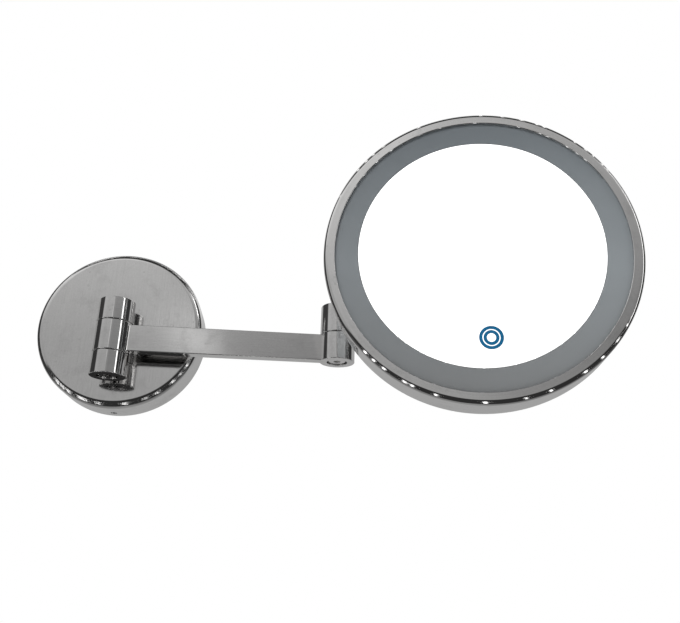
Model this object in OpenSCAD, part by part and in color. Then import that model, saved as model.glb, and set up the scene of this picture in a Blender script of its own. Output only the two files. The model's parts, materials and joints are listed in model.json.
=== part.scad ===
// Extendable shaving mirror for a wall: round wall cover, flat arm between two barrel
// hinges, a rear arm behind the head, and a round lit head that swivels and tilts.
// The origin is the centre of the wall cover on the wall. +X is to the right along the
// wall, +Z is up, and -Y points away from the wall.

/* [Wall cover] */
// Diameter of the wall cover
cover_d = 120; // [100:1:150]
// How far the wall cover stands off the wall
cover_depth = 28; // [24:0.5:36]
// Sheet thickness of the wall cover
cover_wall = 1.5; // [1:0.1:2]
// Rounding of the wall cover's front edge
cover_edge_r = 5.3; // [3:0.1:7]

/* [Wall bracket] */
// Thickness of the bracket that is screwed to the wall
bracket_t = 2.5; // [2:0.5:4]
// Clearance between the bracket and the inside of the wall cover
bracket_gap = 0.5; // [0.3:0.1:1]
// Distance between the two wall screw holes
wall_hole_spacing = 60; // [40:1:76]
// Diameter of the wall screw holes
wall_hole_d = 5; // [4:0.5:6]
// Width of the bent tab that takes the grub screw
tab_w = 16; // [10:1:24]
// Thickness of the bent tab
tab_t = 3; // [2:0.5:4]
// Diameter of the grub screw
grub_d = 4; // [3:1:5]
// Distance from the wall to the grub screw
grub_offset = 10; // [8:0.5:14]
// Thickness of the backing plate inside the wall cover
backing_t = 3; // [2:0.5:5]
// Width of the backing plate
backing_w = 40; // [24:1:50]

/* [Barrel hinges] */
// Diameter of both barrel hinges
barrel_d = 25.2; // [22:0.2:32]
// Chamfer on the edges of the barrel pieces
barrel_chamfer = 0.5; // [0.3:0.1:1]
// Gap between the wall cover and the back of the wall hinge
knuckle_gap = 3; // [2:0.5:6]
// Height of each fixed knuckle
knuckle_h = 16.4; // [15:0.2:24]
// How far the arm's centre line is below the centre of the wall cover
arm_drop = 13.7; // [0:0.1:20]
// Diameter of the collar that holds a knuckle off the wall cover
collar_d = 10; // [8:0.5:12]
// Diameter of the knuckle screws
knuckle_screw_d = 5; // [4:0.5:5]
// Depth of the knuckle screw holes, from the face of the wall cover
knuckle_screw_depth = 7.3; // [6:0.1:8]
// Diameter of the hinge pins
pin_d = 8; // [6:0.5:9]
// Metal left above the wall hinge pin
pin_roof = 3; // [2:0.5:5]
// Diameter of the tension screws in the hinge pins
tension_d = 5; // [3:0.5:5]
// Thickness of a bush flange, which is the gap between barrel pieces
flange_t = 0.4; // [0.3:0.1:1]
// Wall thickness of the bushes
bush_wall = 2; // [1:0.25:2.5]
// Length of a bush without its flange
bush_l = 7.6; // [5:0.2:8]
// Running clearance of a pin in its bush, on the radius
run_gap = 0.05; // [0.02:0.01:0.1]
// Seating clearance of parts that don't move on each other
seat_gap = 0.02; // [0.01:0.01:0.05]
// Diameter of the disc springs
spring_d = 13; // [11:0.5:14]
// Thickness of one disc spring
spring_t = 1.2; // [0.8:0.1:1.5]
// Clearance round screw heads and springs in their recesses
recess_gap = 0.8; // [0.5:0.1:1.2]
// Head height of the tension screws
tension_head_h = 3.2; // [2.5:0.1:4]
// How deep the screw heads sit below the barrel ends
head_sink = 0.8; // [0.5:0.1:1.5]

/* [Arms] */
// Length of the front arm, from hinge axis to hinge axis
arm_l = 160; // [130:1:200]
// Height of the arm bars
bar_h = 19.3; // [14:0.1:20]
// Thickness of the arm bars
bar_t = 8.6; // [6:0.1:10]
// How deep a bar's end sits in its eye
bar_seat = 3; // [2:0.5:4]
// Height of the front arm's inner eye
inner_eye_h = 22; // [20:0.5:26]
// Height of the front arm's outer eye
outer_eye_h = 20; // [20:0.5:26]
// Height of the rear arm's elbow eye
elbow_eye_h = 21.6; // [21:0.2:26]
// Length of the rear arm, from hinge axis to hinge axis
rear_arm_l = 100; // [90:1:130]
// Diameter of the rear arm's tip eye
tip_eye_d = 20; // [18:0.5:20]
// Height of the rear arm's tip eye
tip_eye_h = 20; // [20:0.5:24]
// Direction of the rear arm at rest, turned from the wall
elbow_rest = -21.7; // [-60:0.1:0]

/* [Swivel and tilt] */
// Direction the head faces at rest, turned from straight out
head_yaw = -10.7; // [-20:0.1:10]
// How far the head looks down at rest
head_nod = 1; // [0:0.5:5]
// Diameter of the swivel bolt
swivel_d = 7; // [6:0.5:8]
// Thickness of the yoke's leaves and web
yoke_t = 3.5; // [3:0.5:5]
// Width of the yoke
yoke_w = 18; // [16:0.5:19]
// Gap between the tip eye and the yoke's web
yoke_gap = 1.5; // [1:0.5:3]
// Distance from the swivel axis to the tilt axis
tilt_reach = 21; // [20.5:0.5:26]
// Distance from the tilt axis to the head's back
head_standoff = 9; // [8.5:0.5:14]
// Height of the head's centre above the tilt axis
head_rise = 21; // [20:0.5:24]
// Diameter of the tilt bolt
tilt_d = 6; // [5:0.5:6]
// Wall thickness of the tilt bush
tilt_bush_wall = 1; // [0.8:0.1:1.2]
// Width of the yoke's tongue
tongue_w = 10; // [8:0.5:11]
// Radius of the tongue and cheek ends round the tilt bolt
tilt_end_r = 5; // [4.8:0.1:5.2]
// Thickness of a friction washer
friction_t = 0.5; // [0.3:0.1:1]
// Thickness of a cheek of the tilt bracket
cheek_t = 4; // [3:0.5:5]

/* [Head] */
// Diameter of the head
head_d = 200; // [192:1:250]
// Depth of the head, from back to front
head_depth = 27.3; // [26.5:0.1:34]
// Wall thickness of the head rim
rim_wall = 2; // [1.5:0.1:3]
// Rounding of the rim's front edge
rim_edge_r = 3.15; // [2.5:0.05:4]
// Rounding of the rim's back edge
rim_back_r = 1; // [0.5:0.1:1.5]
// Width of the rim's front lip
lip_w = 7.6; // [6:0.1:10]
// Thickness of the lip, which is how deep the glass lies
lip_t = 1.8; // [1.2:0.1:3]
// Width of the lit band round the mirror
band_w = 14.9; // [12:0.1:15]
// Thickness of the mirror glass and the light band
glass_t = 3; // [2.5:0.5:4]
// Clearance round the glass, the band and the back cover
fit_gap = 0.15; // [0.1:0.05:0.3]
// Thickness of the bonding tape and the gasket
tape_t = 0.5; // [0.3:0.1:1]
// Centre of the touch symbol, to the right of the mirror's centre
touch_x = 4.3; // [-20:0.1:20]
// Centre of the touch symbol, below the mirror's centre
touch_down = 58.3; // [50:0.1:62]
// Outer diameter of the symbol's large ring
touch_ring_d = 14.8; // [10:0.1:20]
// Outer diameter of the symbol's small ring
touch_dot_d = 9.5; // [5:0.1:10]
// Line width of the symbol's rings
touch_line = 2; // [0.8:0.1:2]
// How far the symbol is let into the glass
touch_inlay = 0.3; // [0.1:0.1:0.5]
// How far the symbol stands proud of the glass
touch_proud = 0.05; // [0.02:0.01:0.1]

/* [Back cover and light] */
// Thickness of the back cover
cover_plate_t = 2.5; // [2:0.5:4]
// Height of the light tray's floor above the head's back
tray_floor_z = 10; // [8:0.5:12]
// Thickness of the light tray's walls and floor
tray_wall = 2; // [1.5:0.5:3]
// Number of back cover screws
cover_screws_n = 6; // [4:1:8]
// Diameter of the small screws
small_screw_d = 3; // [2.5:0.5:3]
// Diameter of the screw posts
post_d = 8; // [7:0.5:9]
// Number of LEDs
led_n = 36; // [24:1:60]
// Width of one LED
led_w = 3; // [2:0.1:3.5]
// Height of one LED
led_h = 0.8; // [0.5:0.1:1.2]
// Thickness of the circuit boards
board_t = 1.2; // [0.8:0.1:1.6]

/* [Battery] */
// Diameter of a battery cell
cell_d = 14.5; // [10.5:0.1:14.5]
// Length of a battery cell without its tip
cell_l = 49.2; // [43.3:0.1:49.2]
// Number of cells
cell_n = 3; // [2:1:3]
// Clearance round the cells in the battery box
cell_gap = 0.6; // [0.4:0.1:1]
// Wall thickness of the battery box
box_wall = 1.5; // [1:0.25:2]
// Width of the battery box's flange
box_flange = 4; // [3:0.5:5]
// Height of the battery box's centre above the head's centre
box_rise = 27; // [27:0.5:30]
// How far the door laps over the battery box's flange
door_lap = 1; // [0.5:0.25:2]

/* [Hidden] */
$fn = 96;

// Small clearances and details used in several places
loose_gap = 0.3;
trim_gap = 0.2;
end_gap = 1;
screw_end_gap = 1;
washer_t = 1;

// Wall side
tab_h = grub_offset + 6;
grub_socket_depth = 1.5;
backing_margin = 2;
collar_end_wall = 2;

// Barrel hinges
barrel_r = barrel_d / 2;
knuckle_mid = inner_eye_h / 2 + flange_t + knuckle_h / 2;
hinge_out = cover_depth + knuckle_gap + barrel_r;
pin_r = pin_d / 2;
tension_r = tension_d / 2;
spring_r = spring_d / 2;
bush_in_r = pin_r + run_gap;
bush_out_r = pin_r + bush_wall;
flange_r = barrel_r - 2 * barrel_chamfer;
recess_r = spring_r + recess_gap;
knuckle_start = inner_eye_h / 2 + flange_t;
knuckle_end = knuckle_start + knuckle_h;
springs_h = 2 * spring_t;
recess_depth = head_sink + tension_head_h + springs_h;
pin_foot = knuckle_end - recess_depth - end_gap;
screw_reach = 9;
tension_socket_r = tension_r * 1.1;
tension_head_r = spring_r - trim_gap;

// Elbow hinge, measured from the front arm's centre line
elbow_start = outer_eye_h / 2 + flange_t;
elbow_end = elbow_start + elbow_eye_h;
elbow_recess_floor = elbow_end - recess_depth;
elbow_foot_recess = head_sink + tension_head_h;
elbow_pin_foot = -outer_eye_h / 2 + elbow_foot_recess + 0.1;
elbow_pin_top = elbow_recess_floor - trim_gap;
rear_z = elbow_start + elbow_eye_h / 2;

// Swivel and tilt
swivel_r = swivel_d / 2;
tip_eye_r = tip_eye_d / 2;
tip_bush_in_r = swivel_r + run_gap;
tip_bush_wall = bush_wall - 0.5;
tip_bush_out_r = swivel_r + tip_bush_wall;
leaf_start = tip_eye_h / 2 + flange_t;
leaf_end = leaf_start + yoke_t;
web_front = tip_eye_r + yoke_gap + yoke_t;
tilt_r = tilt_d / 2;
tilt_bush_in_r = tilt_r + run_gap;
tilt_bush_out_r = tilt_r + tilt_bush_wall;
cheek_in = tongue_w / 2 + friction_t;
cheek_out = cheek_in + cheek_t;
swivel_head_h = 2.5;
swivel_head_r = swivel_r + 2.5;
thread_past_nut = 1;
swivel_nut_h = 4;
swivel_nut_d = 13;
tilt_head_h = 3;
tilt_nut_d = 10.5;
tilt_nut_h = 4;
bracket_plate_t = 2.5;
bracket_plate_w = 2 * (cheek_out + 7.5);
bracket_plate_h = 30;
bracket_hole_x = cheek_out + 3.5;
bracket_hole_y = 11;
backing_sheet_t = 2;

// Head, from the axis outwards and from the back plane forwards
head_r = head_d / 2;
lip_in_r = head_r - lip_w;
rim_in_r = head_r - rim_wall;
band_out_r = rim_in_r - fit_gap;
glass_r = lip_in_r - band_w;
band_in_r = glass_r + fit_gap;
glass_front = head_depth - lip_t;
glass_back = glass_front - glass_t;
tray_top = glass_back - tape_t;
tray_out_r = rim_in_r - fit_gap;
tray_hub_r = glass_r + tray_wall;
tray_bore_r = glass_r - 2 * tray_wall;
led_board_in_r = tray_hub_r + 1;
led_board_out_r = tray_out_r - tray_wall - 1;
led_ring_r = (led_board_in_r + led_board_out_r) / 2;
led_board_z = tray_floor_z + tray_wall;
cover_plate_r = rim_in_r - fit_gap;
small_r = small_screw_d / 2;
cover_screw_ring_r = (tray_bore_r + tray_out_r) / 2;
cover_screw_first = 15;
touch_at = [touch_x, -touch_down, 0];

// Battery box, in the head's own axes
cell_pitch = cell_d + cell_gap;
box_in_w = cell_l + 8.5;
box_in_h = cell_n * cell_pitch + cell_gap;
box_in_depth = cell_d + 2 * cell_gap;
box_out_w = box_in_w + 2 * box_wall;
box_out_h = box_in_h + 2 * box_wall;
flange_sheet_t = 1.5;
door_w = box_in_w + 2 * door_lap;
door_h = box_in_h + 2 * door_lap;
door_t = cover_plate_t - 0.3;
door_screw_y = door_h / 2 + 2.4;
door_tab_w = 10;
door_tab_h = 5;

// Control board
control_y = -54;
control_w = 44;
control_h = 24;
control_z = 8;
control_hole_x = 18;
control_hole_y = 8;
lead_r = 0.8;
lead_z = control_z + board_t + lead_r;
lead_angle = 218;
lead_spread = 2.6;
battery_lead_x = 9;
lead_start_in = 4;
lead_bend_out = 2;
led_lead_z = led_board_z + board_t + 2;
led_lead_r = led_board_in_r + 3;

// Frames of the moving parts

module wall_hinge_frame() {
    translate([0, -hinge_out, -arm_drop]) children();
}

module elbow_frame() {
    translate([arm_l, -hinge_out, -arm_drop]) children();
}

// +X runs along the rear arm, and the middle of its height is at zero
module rear_arm_frame() {
    elbow_frame() translate([0, 0, rear_z]) rotate([0, 0, elbow_rest]) children();
}

// -Y points to the front of the head
module swivel_frame() {
    rear_arm_frame() translate([rear_arm_l, 0, 0])
        rotate([0, 0, head_yaw - elbow_rest]) children();
}

// X is to the right, Y is up and Z is forwards from the middle of the head's back
module head_frame() {
    swivel_frame() translate([0, -tilt_reach, 0]) rotate([head_nod, 0, 0])
        translate([0, -head_standoff, head_rise]) rotate([90, 0, 0]) children();
}

// Z points away from the wall
module wall_frame() {
    rotate([90, 0, 0]) children();
}

// Shapes used more than once

// Outline of a disc with a rounded top edge, for turning
module domed_outline(r, h, edge) {
    square([r - edge, h]);
    square([r, h - edge]);
    translate([r - edge, h - edge]) circle(edge);
}

// Keeps only the part of an outline on the right of the axis
module right_half(size) {
    intersection() {
        children();
        translate([0, -size]) square([size, 2 * size]);
    }
}

module tube(r_out, r_in, h) {
    difference() {
        cylinder(h = h, r = r_out);
        translate([0, 0, -1]) cylinder(h = h + 2, r = r_in);
    }
}

// A solid barrel with chamfered ends, from z = 0 up
module barrel(r, h) {
    c = barrel_chamfer;
    rotate_extrude()
        polygon([[0, 0], [r - c, 0], [r, c], [r, h - c], [r - c, h], [0, h]]);
}

module drill(r, z_low, z_high) {
    translate([0, 0, z_low]) cylinder(h = z_high - z_low, r = r);
}

// Flanged bush with its flange on top of z = 0 and its sleeve below
module bush(in_r, out_r, brim_r, sleeve_l) {
    difference() {
        union() {
            cylinder(h = flange_t, r = brim_r);
            drill(out_r, -sleeve_l, 0.01);
        }
        drill(in_r, -sleeve_l - 1, flange_t + 1);
    }
}

// Two disc springs, back to back, from z = 0 up
module disc_springs(r, hole_r) {
    dish = spring_t * 0.4;
    for (flip = [0, 1])
        translate([0, 0, flip * springs_h]) mirror([0, 0, flip])
            rotate_extrude()
                polygon([[hole_r, dish], [r, 0], [r, spring_t - dish], [hole_r, spring_t]]);
}

// Cap screw with its head from z = 0 up and its shank below, and a hexagon socket
module cap_screw(head_r, head_h, shank_r, shank_l, socket_r) {
    difference() {
        union() {
            rotate_extrude()
                polygon([[0, 0], [head_r, 0], [head_r, head_h - 0.5],
                         [head_r - 0.5, head_h], [0, head_h]]);
            drill(shank_r, -shank_l, 0.01);
        }
        translate([0, 0, head_h * 0.35]) cylinder(h = head_h, r = socket_r, $fn = 6);
    }
}

// Small screw with a low round head and a cross slot
module pan_screw(head_r, head_h, shank_r, shank_l) {
    slot = head_r * 0.28;
    difference() {
        union() {
            rotate_extrude() right_half(head_r) intersection() {
                translate([0, head_h - 2 * head_r]) circle(2 * head_r);
                square([head_r, head_h]);
            }
            drill(shank_r, -shank_l, 0.01);
        }
        for (turn = [0, 90])
            rotate([0, 0, turn])
                translate([-head_r * 0.6, -slot / 2, head_h * 0.45])
                    cube([head_r * 1.2, slot, head_h]);
    }
}

// Round rod between two points
module rod(from, to, r) {
    span = to - from;
    length = norm(span);
    translate(from)
        rotate([0, acos(span[2] / length), atan2(span[1], span[0])])
            cylinder(h = length, r = r, $fn = 24);
}

// A box round the Z axis, from z = 0 up
module plate(w, h, t) {
    translate([-w / 2, -h / 2, 0]) cube([w, h, t]);
}

module at_cover_screws() {
    for (i = [0 : cover_screws_n - 1])
        rotate([0, 0, cover_screw_first + i * 360 / cover_screws_n])
            translate([cover_screw_ring_r, 0, 0]) children();
}

module at_bracket_screws() {
    for (x = [-1, 1], y = [-1, 1])
        translate([x * bracket_hole_x, y * bracket_hole_y - head_rise, 0]) children();
}

module at_control_screws() {
    for (x = [-1, 1], y = [-1, 1])
        translate([x * control_hole_x, control_y + y * control_hole_y, 0]) children();
}

// Wall side

module wall_bracket() {
    r = cover_d / 2 - cover_wall - bracket_gap;
    color("silver") wall_frame() difference() {
        union() {
            cylinder(h = bracket_t, r = r);
            intersection() {
                translate([-tab_w / 2, -r, 0]) cube([tab_w, tab_t, tab_h]);
                cylinder(h = tab_h, r = r);
            }
        }
        for (side = [-1, 1])
            translate([side * wall_hole_spacing / 2, 0, -1])
                cylinder(h = bracket_t + 2, r = wall_hole_d / 2);
        translate([0, -r + tab_t + 1, grub_offset]) rotate([90, 0, 0])
            cylinder(h = tab_t + 2, r = grub_d / 2 + seat_gap);
    }
}

module wall_cover() {
    r = cover_d / 2;
    in_r = r - cover_wall;
    color("gainsboro") wall_frame() difference() {
        rotate_extrude() difference() {
            right_half(r + 1) domed_outline(r, cover_depth, cover_edge_r);
            right_half(r + 1) translate([0, -1])
                domed_outline(in_r, cover_depth - cover_wall + 1, cover_edge_r - cover_wall);
        }
        translate([0, -in_r + 2, grub_offset]) rotate([90, 0, 0])
            cylinder(h = cover_wall + 4, r = grub_d / 2 + loose_gap);
        translate([0, -arm_drop, cover_depth - cover_wall - 1])
            for (side = [-1, 1])
                translate([0, side * knuckle_mid, 0])
                    cylinder(h = cover_wall + 2, r = knuckle_screw_d / 2 + seat_gap);
    }
}

module cover_grub_screw() {
    grub_l = tab_t + bracket_gap + cover_wall;
    color("dimgray") wall_frame()
        translate([0, -cover_d / 2 + grub_l + loose_gap, grub_offset]) rotate([90, 0, 0])
            difference() {
                cylinder(h = grub_l, r = grub_d / 2);
                translate([0, 0, grub_l - grub_socket_depth])
                    cylinder(h = grub_socket_depth + 1, r = grub_d / 4, $fn = 6);
            }
}

module backing_plate() {
    face = cover_depth - cover_wall;
    h = 2 * (knuckle_end + backing_margin);
    color("silver") wall_frame() translate([0, -arm_drop, face - backing_t]) difference() {
        plate(backing_w, h, backing_t);
        for (side = [-1, 1])
            translate([0, side * knuckle_mid, -1])
                cylinder(h = backing_t + 2, r = knuckle_screw_d / 2 + seat_gap);
    }
}

// Collar from the wall cover to the barrel, with the blind screw hole in it
module collar() {
    translate([0, hinge_out - cover_depth, 0]) rotate([90, 0, 0])
        cylinder(h = hinge_out - cover_depth - pin_r - collar_end_wall, r = collar_d / 2);
}

module collar_hole() {
    translate([0, hinge_out - cover_depth + 1, 0]) rotate([90, 0, 0])
        cylinder(h = knuckle_screw_depth + 1, r = knuckle_screw_d / 2 + seat_gap);
}

module upper_knuckle() {
    color("gainsboro") wall_hinge_frame() difference() {
        union() {
            translate([0, 0, knuckle_start]) barrel(barrel_r, knuckle_h);
            translate([0, 0, knuckle_mid]) collar();
        }
        drill(pin_r + seat_gap, knuckle_start - 1, knuckle_end - pin_roof);
        translate([0, 0, knuckle_mid]) collar_hole();
    }
}

module lower_knuckle() {
    color("gainsboro") wall_hinge_frame() difference() {
        union() {
            translate([0, 0, -knuckle_end]) barrel(barrel_r, knuckle_h);
            translate([0, 0, -knuckle_mid]) collar();
        }
        drill(pin_r + seat_gap, -knuckle_end - 1, -knuckle_start + 1);
        drill(recess_r, -knuckle_end - 1, -knuckle_end + recess_depth);
        translate([0, 0, -knuckle_mid]) collar_hole();
    }
}

module at_knuckle_screws() {
    wall_frame() translate([0, -arm_drop, 0])
        for (side = [-1, 1])
            translate([0, side * knuckle_mid, 0]) children();
}

module knuckle_screws() {
    seat = cover_depth - cover_wall - backing_t - washer_t;
    reach = cover_depth + knuckle_screw_depth - loose_gap - seat;
    color("dimgray") at_knuckle_screws() translate([0, 0, seat]) mirror([0, 0, 1])
        cap_screw(knuckle_screw_d * 0.85, knuckle_screw_d, knuckle_screw_d / 2, reach,
                  knuckle_screw_d * 0.45);
}

module knuckle_washers() {
    seat = cover_depth - cover_wall - backing_t - washer_t;
    color("silver") at_knuckle_screws() translate([0, 0, seat])
        tube(knuckle_screw_d, knuckle_screw_d / 2 + trim_gap, washer_t);
}

module wall_hinge_pin() {
    top = knuckle_end - pin_roof - trim_gap;
    color("silver") wall_hinge_frame() difference() {
        drill(pin_r, -pin_foot, top);
        drill(tension_r + seat_gap, -pin_foot - 1, -pin_foot + screw_reach);
    }
}

module wall_hinge_springs() {
    color("dimgray") wall_hinge_frame()
        translate([0, 0, -knuckle_end + head_sink + tension_head_h])
            disc_springs(spring_r, tension_r + loose_gap);
}

module wall_hinge_screw() {
    shank = springs_h + end_gap + screw_reach - screw_end_gap;
    color("silver") wall_hinge_frame()
        translate([0, 0, -knuckle_end + head_sink + tension_head_h]) mirror([0, 0, 1])
            cap_screw(tension_head_r, tension_head_h, tension_r, shank, tension_socket_r);
}

// Front arm

// Square-ended bar along X between two eyes of the given radii
module arm_bar(length, r_from, r_to) {
    start = r_from - bar_seat + seat_gap;
    end = length - r_to + bar_seat - seat_gap;
    translate([start, -bar_t / 2, -bar_h / 2]) cube([end - start, bar_t, bar_h]);
}

// Pocket in an eye that takes the bar's end
module bar_pocket(r) {
    w = bar_t + 2 * seat_gap;
    h = bar_h + 2 * seat_gap;
    translate([r - bar_seat, -w / 2, -h / 2]) cube([bar_seat + 1, w, h]);
}

module inner_eye() {
    color("gainsboro") wall_hinge_frame() difference() {
        translate([0, 0, -inner_eye_h / 2]) barrel(barrel_r, inner_eye_h);
        drill(bush_out_r + seat_gap, -inner_eye_h, inner_eye_h);
        bar_pocket(barrel_r);
    }
}

module front_arm_bar() {
    color("gainsboro") wall_hinge_frame() arm_bar(arm_l, barrel_r, barrel_r);
}

module outer_eye() {
    low = -outer_eye_h / 2;
    color("gainsboro") elbow_frame() difference() {
        translate([0, 0, low]) barrel(barrel_r, outer_eye_h);
        drill(pin_r + seat_gap, low - 1, outer_eye_h);
        drill(recess_r, low - 1, low + elbow_foot_recess);
        rotate([0, 0, 180]) bar_pocket(barrel_r);
    }
}

module wall_hinge_bushes() {
    color("ivory") wall_hinge_frame()
        for (flip = [0, 1])
            mirror([0, 0, flip]) translate([0, 0, inner_eye_h / 2])
                bush(bush_in_r, bush_out_r, flange_r, bush_l);
}

module elbow_pin() {
    color("silver") elbow_frame() difference() {
        drill(pin_r, elbow_pin_foot, elbow_pin_top);
        drill(tension_r + seat_gap, elbow_pin_foot - 1, elbow_pin_foot + screw_reach);
        drill(tension_r + seat_gap, elbow_pin_top - screw_reach, elbow_pin_top + 1);
    }
}

module elbow_bottom_screw() {
    color("silver") elbow_frame()
        translate([0, 0, -outer_eye_h / 2 + elbow_foot_recess]) mirror([0, 0, 1])
            cap_screw(tension_head_r, tension_head_h, tension_r, screw_reach - screw_end_gap,
                      tension_socket_r);
}

module elbow_top_screw() {
    color("silver") elbow_frame()
        translate([0, 0, elbow_recess_floor + springs_h])
            cap_screw(tension_head_r, tension_head_h, tension_r,
                      springs_h + screw_reach - screw_end_gap, tension_socket_r);
}

// Rear arm

module elbow_eye() {
    half = elbow_eye_h / 2;
    color("gainsboro") rear_arm_frame() difference() {
        translate([0, 0, -half]) barrel(barrel_r, elbow_eye_h);
        drill(bush_out_r + seat_gap, -half - 1, half);
        drill(recess_r, half - recess_depth, half + 1);
        bar_pocket(barrel_r);
    }
}

module rear_arm_bar() {
    color("gainsboro") rear_arm_frame() arm_bar(rear_arm_l, barrel_r, tip_eye_r);
}

module tip_eye() {
    color("gainsboro") rear_arm_frame() translate([rear_arm_l, 0, 0]) difference() {
        translate([0, 0, -tip_eye_h / 2]) barrel(tip_eye_r, tip_eye_h);
        drill(tip_bush_out_r + seat_gap, -tip_eye_h, tip_eye_h);
        rotate([0, 0, 180]) bar_pocket(tip_eye_r);
    }
}

module elbow_bushes() {
    half = elbow_eye_h / 2;
    sleeve = (elbow_eye_h - recess_depth) / 2 - trim_gap;
    color("ivory") rear_arm_frame() {
        translate([0, 0, -half]) mirror([0, 0, 1])
            bush(bush_in_r, bush_out_r, flange_r, sleeve);
        translate([0, 0, half - recess_depth - sleeve])
            tube(bush_out_r, bush_in_r, sleeve);
    }
}

module elbow_springs() {
    color("dimgray") rear_arm_frame()
        translate([0, 0, elbow_eye_h / 2 - recess_depth])
            disc_springs(spring_r, tension_r + loose_gap);
}

module swivel_bushes() {
    color("ivory") rear_arm_frame() translate([rear_arm_l, 0, 0])
        for (flip = [0, 1])
            mirror([0, 0, flip]) translate([0, 0, tip_eye_h / 2])
                bush(tip_bush_in_r, tip_bush_out_r, tip_eye_r - 1, bush_l);
}

// Yoke

module head_yoke() {
    color("gainsboro") swivel_frame() difference() {
        union() {
            for (flip = [0, 1])
                mirror([0, 0, flip]) translate([0, 0, leaf_start]) {
                    cylinder(h = yoke_t, r = yoke_w / 2);
                    translate([-yoke_w / 2, -web_front, 0]) cube([yoke_w, web_front, yoke_t]);
                }
            translate([-yoke_w / 2, -web_front, -leaf_end]) cube([yoke_w, yoke_t, 2 * leaf_end]);
            translate([-tongue_w / 2, -tilt_reach, -tilt_end_r])
                cube([tongue_w, tilt_reach - web_front + 1, 2 * tilt_end_r]);
            translate([-tongue_w / 2, -tilt_reach, 0]) rotate([0, 90, 0])
                cylinder(h = tongue_w, r = tilt_end_r);
        }
        drill(swivel_r + seat_gap, -leaf_end - 1, leaf_end + 1);
        translate([-tongue_w / 2 - 1, -tilt_reach, 0]) rotate([0, 90, 0])
            cylinder(h = tongue_w + 2, r = tilt_bush_out_r + seat_gap);
    }
}

module swivel_bolt() {
    below = leaf_end + springs_h + swivel_nut_h + thread_past_nut;
    color("silver") swivel_frame() translate([0, 0, leaf_end])
        cap_screw(swivel_head_r, swivel_head_h, swivel_r, leaf_end + below, swivel_r * 0.8);
}

module swivel_nut() {
    color("silver") swivel_frame()
        translate([0, 0, -leaf_end - springs_h - swivel_nut_h]) difference() {
            cylinder(h = swivel_nut_h, r = swivel_nut_d / 2, $fn = 6);
            drill(swivel_r + seat_gap, -1, swivel_nut_h + 1);
        }
}

module swivel_springs() {
    color("dimgray") swivel_frame() translate([0, 0, -leaf_end - springs_h])
        disc_springs(swivel_nut_d / 2, swivel_r + loose_gap);
}

module tilt_bush() {
    color("ivory") swivel_frame() translate([-tongue_w / 2, -tilt_reach, 0])
        rotate([0, 90, 0]) tube(tilt_bush_out_r, tilt_bush_in_r, tongue_w);
}

// Tilt bracket, in the head's axes

module at_tilt_axis() {
    translate([0, -head_rise, -head_standoff]) rotate([0, 90, 0]) children();
}

module tilt_bracket() {
    color("gainsboro") head_frame() difference() {
        union() {
            translate([0, -head_rise, -bracket_plate_t])
                plate(bracket_plate_w, bracket_plate_h, bracket_plate_t);
            for (side = [0, 1]) mirror([side, 0, 0]) {
                at_tilt_axis() translate([0, 0, cheek_in]) cylinder(h = cheek_t, r = tilt_end_r);
                translate([cheek_in, -head_rise - tilt_end_r, -head_standoff])
                    cube([cheek_t, 2 * tilt_end_r, head_standoff - bracket_plate_t + 0.01]);
            }
        }
        at_tilt_axis() translate([0, 0, -cheek_out - 1])
            cylinder(h = 2 * cheek_out + 2, r = tilt_r + seat_gap);
        at_bracket_screws() drill(small_r + 0.1, -bracket_plate_t - 1, 1);
    }
}

module tilt_bolt() {
    color("silver") head_frame() at_tilt_axis() translate([0, 0, cheek_out])
        cap_screw(tilt_end_r, tilt_head_h, tilt_r, 2 * cheek_out + tilt_nut_h + thread_past_nut,
                  tilt_r * 0.8);
}

module tilt_nut() {
    color("silver") head_frame() at_tilt_axis()
        translate([0, 0, -cheek_out - tilt_nut_h]) difference() {
            cylinder(h = tilt_nut_h, r = tilt_nut_d / 2, $fn = 6);
            drill(tilt_r + seat_gap, -1, tilt_nut_h + 1);
        }
}

module tilt_washers() {
    color("ivory") head_frame() at_tilt_axis()
        for (flip = [0, 1])
            mirror([0, 0, flip]) translate([0, 0, cheek_in - friction_t])
                tube(tilt_end_r - trim_gap, tilt_r + trim_gap, friction_t);
}

module bracket_screws() {
    reach = bracket_plate_t + cover_plate_t + backing_sheet_t + thread_past_nut;
    color("silver") head_frame() at_bracket_screws() translate([0, 0, -bracket_plate_t])
        mirror([0, 0, 1]) pan_screw(small_r * 1.85, 2, small_r, reach);
}

module bracket_backing() {
    color("silver") head_frame() translate([0, -head_rise, cover_plate_t]) difference() {
        plate(bracket_plate_w, bracket_plate_h, backing_sheet_t);
        translate([0, head_rise, 0])
            at_bracket_screws() drill(small_r + seat_gap, -1, backing_sheet_t + 1);
    }
}

// Head

module head_rim() {
    color("gainsboro") head_frame() rotate_extrude() difference() {
        right_half(head_r + 1) intersection() {
            domed_outline(head_r, head_depth, rim_edge_r);
            translate([0, head_depth]) mirror([0, 1])
                domed_outline(head_r, head_depth, rim_back_r);
        }
        translate([-1, -1]) square([rim_in_r + 1, head_depth - lip_t + 1]);
        translate([-1, -1]) square([lip_in_r + 1, head_depth + 2]);
    }
}

module light_band() {
    color("lightslategray") head_frame() translate([0, 0, glass_back])
        tube(band_out_r, band_in_r, glass_t);
}

// Cuts the two rings of the symbol, at z = 0
module touch_rings(h, grow) {
    for (d = [touch_ring_d, touch_dot_d])
        tube(d / 2 + grow, d / 2 - touch_line - grow, h);
}

module mirror_glass() {
    color("white") head_frame() difference() {
        translate([0, 0, glass_back]) cylinder(h = glass_t, r = glass_r);
        translate(touch_at + [0, 0, glass_front - touch_inlay])
            touch_rings(touch_inlay + 1, seat_gap);
    }
}

module touch_symbol() {
    color("steelblue") head_frame()
        translate(touch_at + [0, 0, glass_front - touch_inlay])
            touch_rings(touch_inlay + touch_proud, 0);
}

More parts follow.
